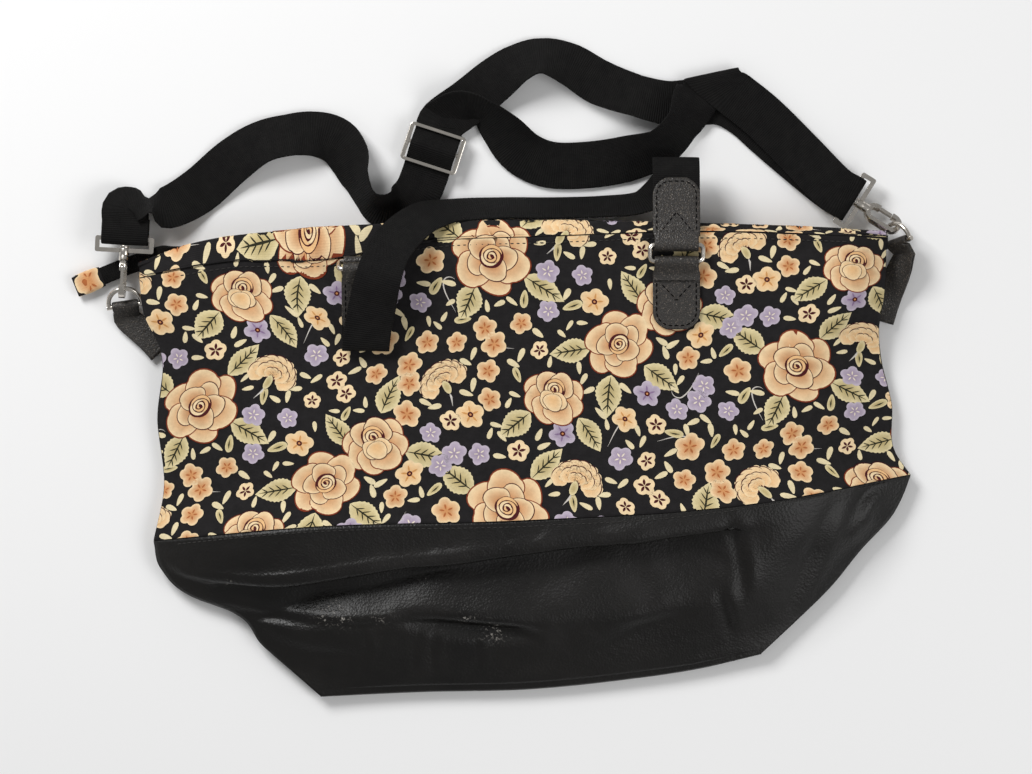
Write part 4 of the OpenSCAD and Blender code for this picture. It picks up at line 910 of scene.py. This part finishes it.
def route_frames(route, steps):
    """Places, width directions and outward directions along a route of (x, y, z, azimuth, tilt, width share). The
    width lies square to the route, and along its own azimuth in a diagonal fold, where its share passes 1."""
    keys = np.array([list(p) + [1] * (6 - len(p)) for p in route], float)
    t = np.linspace(0, 1, (len(keys) - 1) * steps + 1)
    place = along(keys[:, :3], t)
    azimuth, tilt = np.radians(keys[:, 3]), np.radians(keys[:, 4])
    lay = np.stack([np.cos(azimuth) * np.cos(tilt), np.sin(azimuth) * np.cos(tilt), np.sin(tilt)], -1)
    i = np.minimum((t * (len(keys) - 1)).astype(int), len(keys) - 2)
    q = (t * (len(keys) - 1) - i)[:, None]
    wide = mix(lay[i], lay[i + 1], q)
    share = mix(keys[i, 5:], keys[i + 1, 5:], q)
    ahead = unit(np.gradient(place, axis=0))
    square = unit(wide - ahead * (ahead * wide).sum(1, keepdims=True))
    skewed = soft_step((share - 1) / 0.04)
    return place, mix(square, unit(wide), skewed) * share, unit(np.cross(ahead, square))


def oval(a, across, up):
    """Section of a superellipse at angles a: sign(cos a) |cos a|^across and sign(sin a) |sin a|^up."""
    return np.sign(np.cos(a)) * np.abs(np.cos(a)) ** across, np.sign(np.sin(a)) * np.abs(np.sin(a)) ** up


def band(name, node, frames, size, material, flatness=0.28):
    """A band of size (width, thickness) swept along frames: a superellipse section, closed at both ends. Where an
    edge would dip below the table, the band is lifted onto it."""
    place, wide, out = frames
    width, thick = size
    low = place[:, 2] - np.abs(wide[:, 2]) * width / 2 - np.abs(out[:, 2]) * thick / 2
    place = place + np.maximum(0, -low)[:, None] * (0, 0, 1)
    x, y = oval(-circle(WEB_SIDES), 0.5, flatness)
    across = x * width / 2
    loops = place[:, None] + wide[:, None] * across[None, :, None] + out[:, None] * (y * thick / 2)[None, :, None]
    way = way_along(place)
    uv = np.stack(np.broadcast_arrays(across[None, :], way[:, None]), -1)
    piece = mesh_piece(name, loops, tubes(len(place), WEB_SIDES), uv, material)
    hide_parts(node)


webbing, shader = plain_finish("ribbed_webbing", "#0b0a0a", 0.85, specular=0.2)
for way, pitch, depth in (("Y", 220.0, 0.0006), ("X", 330.0, 0.0003)):
    ribs = pattern(shader, "Wave", "UV", bands=way, Scale=pitch, Distortion=0.5, Detail=1.0)
    relief(shader, ribs, depth, 0.6)
wear = pattern(shader, "Noise", "UV", Scale=120.0, Detail=6.0, Roughness=0.7)
graded(shader, "Base Color", wear, (0.35, "#080707"), (0.7, "#131211"))

# Tail of the zip: the two tapes run on together past the left end of the bag, and their cut ends are
# caught in a folded scrap of the printed canvas.
TAIL_W, TAIL_T, TAIL_FROM = 12.0, 2.2, ZIP_FROM - 0.9
TAIL_END, TAIL_HEADING = (-HALF_W - 40, ZIP_Y - 20, 3.2), 202.0
WRAP_HALF_W, WRAP_HALF_T, WRAP_LEN, WRAP_OVER = 7.4, 2.5, 20.0, 6.0
WRAP_COLS, WRAP_SIDES = 25, 32
tail_route = [(TAIL_FROM, ZIP_Y - 0.2, ZIP_Z, 90, 90, 0.88), (TAIL_FROM - 14, ZIP_Y - 0.6, ZIP_Z - 2, 90, 66, 0.9),
              (TAIL_FROM - 26, ZIP_Y - 3.4, 11.4, 92, 22), (TAIL_FROM - 40, ZIP_Y - 8, 6, 98, 8),
              (TAIL_FROM - 54, ZIP_Y - 13, 4, 108, 4), (*TAIL_END, 112, 0)]
band("zip_tail_band", "zip_tail", route_frames(tail_route, 8), (TAIL_W, TAIL_T), webbing,
     0.5)


def end_wrap(u, v):
    """The scrap at the tail's end, u along it and v round its oval section; it narrows to the open end."""
    swell = np.sin(np.pi * np.clip(u, 0.02, 0.98)) ** 0.25
    side, up = oval(-2 * np.pi * v, 0.5, 0.6)
    side, up = side * WRAP_HALF_W * (0.86 + 0.14 * swell), up * WRAP_HALF_T * swell + 0.15
    flat = turned(np.stack([WRAP_LEN * u - WRAP_OVER, side], -1), TAIL_HEADING)
    return np.array(TAIL_END) + np.concatenate([flat, up[..., None]], -1)


wrap_grid = end_wrap(*np.meshgrid(np.linspace(0, 1, WRAP_COLS), np.arange(WRAP_SIDES) / WRAP_SIDES, indexing="ij"))
wrap = mesh_piece("zip_end_wrap", wrap_grid, tubes(WRAP_COLS, WRAP_SIDES), grid_spans(wrap_grid), black_canvas)
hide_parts("zip_end_tab")
printed("zip_end_print", end_wrap, WRAP_LEN, 34.0, (187.0, 113.0), 0.15)

# Leather tabs: four are sewn flat to the panels and fold round the rings' lower bars, four fold round
# the upper bars and clasp the ends of the webbing. Glittering grain, rounded ends, stitched border.
TAB_T, TAB_LEN, TAB_ROUND, SEAM_IN, NECK = 1.6, 46.0, 12.0, 2.6, 0.93
RING_MID, RING_SPACING, RING_Y, RING_D = -6.0, 210.0, TOP_Y - 17, 11.0
LEFT_X, RIGHT_X = RING_MID - RING_SPACING / 2, RING_MID + RING_SPACING / 2
FRONT_BAR_Z, BACK_BAR_Z = PANEL_H + 5.0, BACK_LIFT - 5.0
THREAD_UP = TAB_T / 2 + 0.1
# Rings: x and z of the lower bar, way out of the bag, lean of the ring and slope of its end tab in degrees
RINGS = {("front", "left"): (LEFT_X, FRONT_BAR_Z, 1, 120, 192),
         ("front", "right"): (RIGHT_X, FRONT_BAR_Z, 1, 0, -9),
         ("back", "left"): (LEFT_X, BACK_BAR_Z, -1, 192, 181.5),
         ("back", "right"): (RIGHT_X, BACK_BAR_Z, -1, 192, 181.5)}
# Side views as (along, up): from the sewn end round the lower bar, and from one leaf's end to the upper bar
SEWN_Z, LEAF_Z = -3.6, WEB_T / 2 + 0.25 + TAB_T / 2
SEWN_TAB = np.array(((-TAB_LEN, SEWN_Z), (-34, SEWN_Z), (-20, SEWN_Z), (-9, SEWN_Z), (-4, 0.97 * SEWN_Z), (0, -2.9),
                     (2.3, -1.7), (2.8, 0), (2.1, 1.9), (0, 2.7), (-2.4, 2.0), (-5.5, 0.3), (-9, -1.3), (-13, -1.7)))
LEAF_TAB = np.array(((TAB_LEN, LEAF_Z), (34, LEAF_Z), (20, LEAF_Z), (10, LEAF_Z + 0.3), (4.5, 3.0), (0, 3.7),
                     (-2.7, 2.6)))
END_TAB = np.concatenate([LEAF_TAB, [(-3.7, 0)], (LEAF_TAB * (1, -1))[::-1]])

tab_leather, shader = plain_finish("tab_leather", "#1b1917", 0.5)
pebble = pattern(shader, "Voronoi", "Object", "Distance", Scale=900.0)
glitter = pattern(shader, "Voronoi", "Object", "Color", Scale=1900.0)
graded(shader, "Base Color", glitter, (0.5, "#211e1b"), (0.78, "#302c28"), (0.95, "#6a6157"))
graded(shader, "Roughness", glitter, (0.5, 0.58), (0.85, 0.28))
relief(shader, pebble, 0.0005, 0.6)
# the last two colours are painted shade in the twist's grooves and a painted highlight on its ridges
waxed_thread = thread_finish("waxed_thread", "#050505", 0.7, 0.1, "#030303", "#0b0a0a")


def far_bar(bar_z, lean):
    """y and z of a ring's upper bar when the ring leans by that angle."""
    return polar(RING_D, np.radians(lean), (RING_Y, bar_z))


def rounded_share(way, ends):
    """Width share along a strip with rounded ends: at distance s from an end, (w - r + sqrt(r2 - (r - s)2)) / w."""
    share = np.ones_like(way)
    for s in [way] * ends[0] + [way[-1] - way] * ends[1]:
        inset = np.clip(TAB_ROUND - s, 0, TAB_ROUND - 0.4)
        share = np.minimum(share, (WEB_W / 2 - TAB_ROUND + np.sqrt(TAB_ROUND ** 2 - inset ** 2)) / (WEB_W / 2))
    return share


def on_tab(across, side_view, slope, origin):
    """Points across a tab and along its side view (along, up), turned by slope about X at origin."""
    return np.array(origin) + np.concatenate([across[:, None], turned(side_view, slope)], 1)


def tab_rows(start, foot, tip, bar):
    """Rows of a tab's stitches as (across, along): up one side, round the end and down the other, then a pointed row
    and a straight one."""
    half, r = WEB_W / 2 - SEAM_IN, TAB_ROUND - SEAM_IN
    bend = arc(r, 0, 90, 9, (half - r, TAB_LEN - SEAM_IN - r))
    side = np.concatenate([[(half, start)], bend])
    return (np.concatenate([side, (side * (-1, 1))[::-1]]), np.array(((-10, foot), (0, tip), (10, foot))),
            np.array(((-13, bar), (13, bar))))


def tab(name, node, origin, slope, section, ends, rows, way_out, thread_z, up):
    """A tab: a strip through the keys of its side view, narrowed where it passes through the ring. Returns its rows
    of stitches, which run that way out from the bar at height thread_z and face up."""
    line = along(section, np.linspace(0, 1, 97))
    place = on_tab(np.zeros(len(line)), line, slope, origin)
    share = rounded_share(way_along(line), ends) * mix(NECK, 1, soft_step((np.abs(line[:, 0]) - 4) / 5))
    out = np.cross(unit(np.gradient(place, axis=0)), (1.0, 0, 0))
    band(name, node, (place, share[:, None] * (1, 0, 0), out), (WEB_W, TAB_T), tab_leather,
         0.35)
    return [(on_tab(row[:, 0], np.stack([way_out * row[:, 1], np.full(len(row), thread_z)], -1), slope, origin),
             (0, *turned(np.array((0, up)), slope))) for row in rows]


tab_lines = []
for (face, side), (x, bar_z, up, lean, slope) in RINGS.items():
    sewn = tab(f"anchor_leather_{face}_{side}", f"anchor_tab_{face}_{side}", (x, RING_Y, bar_z), 0, SEWN_TAB * (1, up),
               (1, 0), tab_rows(14.0, 15.5, 26.0, 13.0), -1, up * (SEWN_Z + THREAD_UP), up)
    above = up if np.cos(np.radians(slope)) > 0 else -up
    tab_lines += tab(f"end_leather_{face}_{side}", f"end_tab_{face}_{side}", (x, *far_bar(bar_z, lean)), slope, END_TAB,
                     (1, 1), tab_rows(9.0, 9.5, 22.0, 9.0), 1, above * (LEAF_Z + THREAD_UP), above) + sewn
    finished_node(f"handle_ring_{face}_{side}", nickel)
stitches("tab_stitches", tab_lines, waxed_thread)

# Handles: one length of webbing each. The front one falls over the top and lies along the bag's rim with
# its left end doubled back; the back one is folded square and lies under the bag.
FOLD_Y, FOLD_HIGH, FOLD_LOW, FOLD_CLEAR = SEAM_Y + 0.48 * CANVAS_H, 4.2, 1.8, WEB_W / 2 + 4
FOLD_MID, DIAGONAL = (FOLD_HIGH + FOLD_LOW) / 2, 2 ** 0.5


def in_tab(face, side, azimuth):
    """Points of the webbing between the leaves of an end tab, from the bar outwards."""
    x, bar_z, up, lean, slope = RINGS[face, side]
    leaf = turned(np.array([(a, 0) for a in (6, 14, 28, TAB_LEN - 2)]), slope) + far_bar(bar_z, lean)
    return [(x, y, z, azimuth, 0) for y, z in leaf]


def from_top(*points):
    """Route points whose y is measured from the top fold."""
    return [(p[0], TOP_Y + p[1], *p[2:]) for p in points]


bar = FRONT_BAR_Z
front_route = in_tab("front", "right", 180) + from_top(
    (RIGHT_X, 47, bar - 9.5, 180, 0), (RIGHT_X, 53.5, bar - 17, 180, 0), (RIGHT_X, 48, 15, 180, 0),
    (RIGHT_X - 3, 37, 12, 140, -30), (RIGHT_X - 23, 24, 15.6, 97, -60), (48, 21, 15.6, 90, -62),
    (14, 20, 15.6, 90, -62), (-20, 20, 15.6, 90, -62), (-54, 18, 22, 92, -60), (LEFT_X + 39, 13, bar - 9, 104, -50),
    (LEFT_X + 25, 2, bar + 3, 120, -40), (LEFT_X + 15, -12, bar + 14, 140, -28), (LEFT_X + 9, -29, bar + 19, 160, -12),
    (LEFT_X + 5, -47, bar + 12, 176, -3), (LEFT_X + 2, -61, bar + 7.5, 180, 0), (LEFT_X + 0.5, -72, bar + 4.6, 180, 0),
    (LEFT_X, -77, bar + 1.6, 180, 0), (LEFT_X, -72.5, bar - 0.8, 180, 0)) + in_tab("front", "left", 180)[::-1]
band("front_handle_webbing", "front_handle", route_frames(front_route, 8), (WEB_W, WEB_T), webbing)
back_route = in_tab("back", "left", 0) + [
    (LEFT_X, FOLD_Y + FOLD_CLEAR, FOLD_HIGH, 0, 0), (LEFT_X, FOLD_Y, FOLD_HIGH, -45, 0, DIAGONAL),
    (LEFT_X - 1, FOLD_Y - 1, FOLD_MID, -45, 0, DIAGONAL), (LEFT_X, FOLD_Y, FOLD_LOW, -45, 0, DIAGONAL),
    (LEFT_X + FOLD_CLEAR, FOLD_Y, FOLD_LOW, -90, 0), (RING_MID, FOLD_Y, FOLD_LOW, -90, 0),
    (RIGHT_X - FOLD_CLEAR, FOLD_Y, FOLD_LOW, -90, 0), (RIGHT_X, FOLD_Y, FOLD_LOW, -135, 0, DIAGONAL),
    (RIGHT_X + 1, FOLD_Y - 1, FOLD_MID, -135, 0, DIAGONAL), (RIGHT_X, FOLD_Y, FOLD_HIGH, -135, 0, DIAGONAL),
    (RIGHT_X, FOLD_Y + FOLD_CLEAR, FOLD_HIGH, -180, 0)] + in_tab("back", "right", -180)[::-1]
band("back_handle_webbing", "back_handle", route_frames(back_route, 1), (WEB_W, WEB_T), webbing)

# Side loops: strips of the tab leather sewn into the side seams, folded in two layers round the straight
# bars of the D-rings.
LOOP_W, LOOP_T, LOOP_LAY, LOOP_TURN = 18.0, 1.5, 0.9, 2.75
LOOP_NECK, LOOP_BEND = (10.8, 6.5), np.radians(np.arange(126, -127, -14))[:, None]
# Each loop: side, middle of the ring's bar, its heading, pitch and roll in degrees, and the sewn end's route
LOOPS = (("left", (-276.19, 106.63, 8.4), 98, 30, 0,
          ((-HALF_W + 6, -78, 3, 220, 0), (-HALF_W - 2, -69, 3, 216, 0))),
         ("right", (251.43, 149.53, 11.0), 110, 0, -48,
          ((HALF_W - 18, -57, 3.5, 160, 0), (HALF_W - 13, -41, 3.5, 166, 0))))
for side, ring_at, heading, pitch, roll, sewn in LOOPS:
    h, p, r = np.radians((heading, pitch, roll))
    ahead = np.array((np.cos(h) * np.cos(p), np.sin(h) * np.cos(p), np.sin(p)))
    across = np.array((-np.sin(h) * np.cos(r), np.cos(h) * np.cos(r), np.sin(r)))
    neck = [(*(ring_at - x * ahead), heading + 90, roll) for x in LOOP_NECK]
    place, wide, out = route_frames(from_top(*sewn) + neck, 4)
    bend = np.cos(LOOP_BEND) * ahead + np.sin(LOOP_BEND) * np.cross(ahead, across)
    layer = LOOP_LAY * out
    frames = (np.concatenate([place + layer, ring_at + LOOP_TURN * bend, (place - layer)[::-1]]),
              np.concatenate([wide, np.tile(across, (len(bend), 1)), wide[::-1]]),
              np.concatenate([out, bend, -out[::-1]]))
    band(f"side_loop_leather_{side}", f"side_loop_{side}", frames, (LOOP_W, LOOP_T), tab_leather,
         0.35)

# Strap hardware: nickel-plated D-rings, swivel clasps with sprung gates, and a three-bar slider. Their
# shapes are the frame's own, with the cut edges rounded off.
for side in ("left", "right"):
    finished_node(f"d_ring_{side}", nickel)
    for part, bevel in (("strap_eye", 0.5), ("hook", 0.9), ("gate", 0.35)):
        finished_node(f"{part}_{side}", nickel, bevel)
finished_node("strap_slider", nickel, 0.5)

# Shoulder strap: one length of webbing, sewn round the slider's middle bar, run out to the right clasp
# and back through the slider, and on to the left clasp. It lies in loose turns on the table.
SLIDER_AT, SLIDER_HEADING = (-66.0, TOP_Y + 61, 9.0), 72.0
LEFT_CLASP, LEFT_HEADING = (-HALF_W - 18, TOP_Y - 1, 15.0), -93.0
RIGHT_CLASP, RIGHT_HEADING = (HALF_W - 40, TOP_Y + 27, 11.0), -32.0
BAR_TURN = 3.51


def beside(origin, heading, azimuth, *points):
    """Route points given as (along the heading, up) from an origin."""
    c, s = polar(1.0, np.radians(heading))
    return [(origin[0] + x * c, origin[1] + x * s, origin[2] + z, azimuth, 0) for x, z in points]


strap_route = (
    beside(SLIDER_AT, SLIDER_HEADING, 162, (14, -7), (6, -5.2), (1.5, -3.5), (-1.6, -2.4), (-2.8, 0), (-1.4, 2.5),
           (1.6, 2.5), (3.6, 0), (4.9, -2.8), (8, -4.6), (12.5, -4.8), (20, -6))
    # Out from the slider, turned over at the top right
    + from_top((-46, 88, 12.5, 140, 26), (-32, 85, 14, 98, 52), (-19, 73, 11, 62, 35), (-5, 58, 4.5, 58, 10),
               (14, 50, 1.7, 82, 0), (40, 50, 1.7, 92, 0), (66, 54, 4.5, 105, 12), (90, 62, 12, 128, 38),
               (104, 77, 13, 150, 42), (112, 93, 8.5, 160, 14), (117, 101, 5.8, 170, 2, 1.03),
               (123, 109, 5, 192, 0, 1.19), (124, 112, 6.4, 192, 0, 1.19), (126, 109, 7.8, 192, 0, 1.19),
               (140, 98, 7.4, 220, 0), (160, 82, 6.4, 225, 0), (184, 58, 8, 228, 0))
    + beside(RIGHT_CLASP, RIGHT_HEADING, 238, (-14, BAR_TURN + 0.4), (0, BAR_TURN), (BAR_TURN, 0), (0, -BAR_TURN),
             (-14, -BAR_TURN - 0.8))
    # Back under the first strand to the slider
    + from_top((186, 51, 3.4, 228, 0), (164, 70, 1.4, 226, 0), (147, 85, 1.2, 234, 0), (131, 93, 1.5, 262, 0),
               (113, 93, 1.5, 276, 0), (95, 92, 5, 270, 14), (73, 97, 8, 256, 24), (48, 106, 5, 240, 10),
               (28, 118, 7, 236, 22), (8, 124, 11, 268, 38), (-8, 119, 9.6, 302, 32), (-25, 107, 6, 318, 12),
               (-42, 93, 6, 330, 2))
    + beside(SLIDER_AT, SLIDER_HEADING, 342, (20, -3.4), (12.5, -2.7), (10, -2.5), (5.4, 1.6), (0, 4.6), (-5.4, 1.6),
             (-10, -2.5), (-12.5, -2.9), (-20, -4))
    # On to the left clasp
    + from_top((-77, 31, 5, 330, -8), (-85, 23, 6, 312, -14), (-98, 19, 11, 280, -38), (-111, 25, 15, 238, -62),
               (-118, 39, 14, 198, -56), (-123, 54, 9, 200, -28), (-132, 66, 5, 228, -6), (-147, 71, 6, 262, 14),
               (-165, 70, 8, 272, 24), (-184, 65, 8, 294, 22), (-204, 52, 4, 310, 8), (-227, 32, 1.4, 316, 0),
               (-HALF_W + 9, 20, 8, 324, 0, 0.94), (-HALF_W - 6, 23, 13, 341, 0, 0.9))
    + beside(LEFT_CLASP, LEFT_HEADING, 357, (-22, BAR_TURN - 2.4), (-12, BAR_TURN), (0, BAR_TURN), (BAR_TURN, 0),
             (0, -BAR_TURN), (-14, -BAR_TURN - 0.4)))
band("strap_webbing", "shoulder_strap", route_frames(strap_route, 5), (WEB_W, WEB_T), webbing)
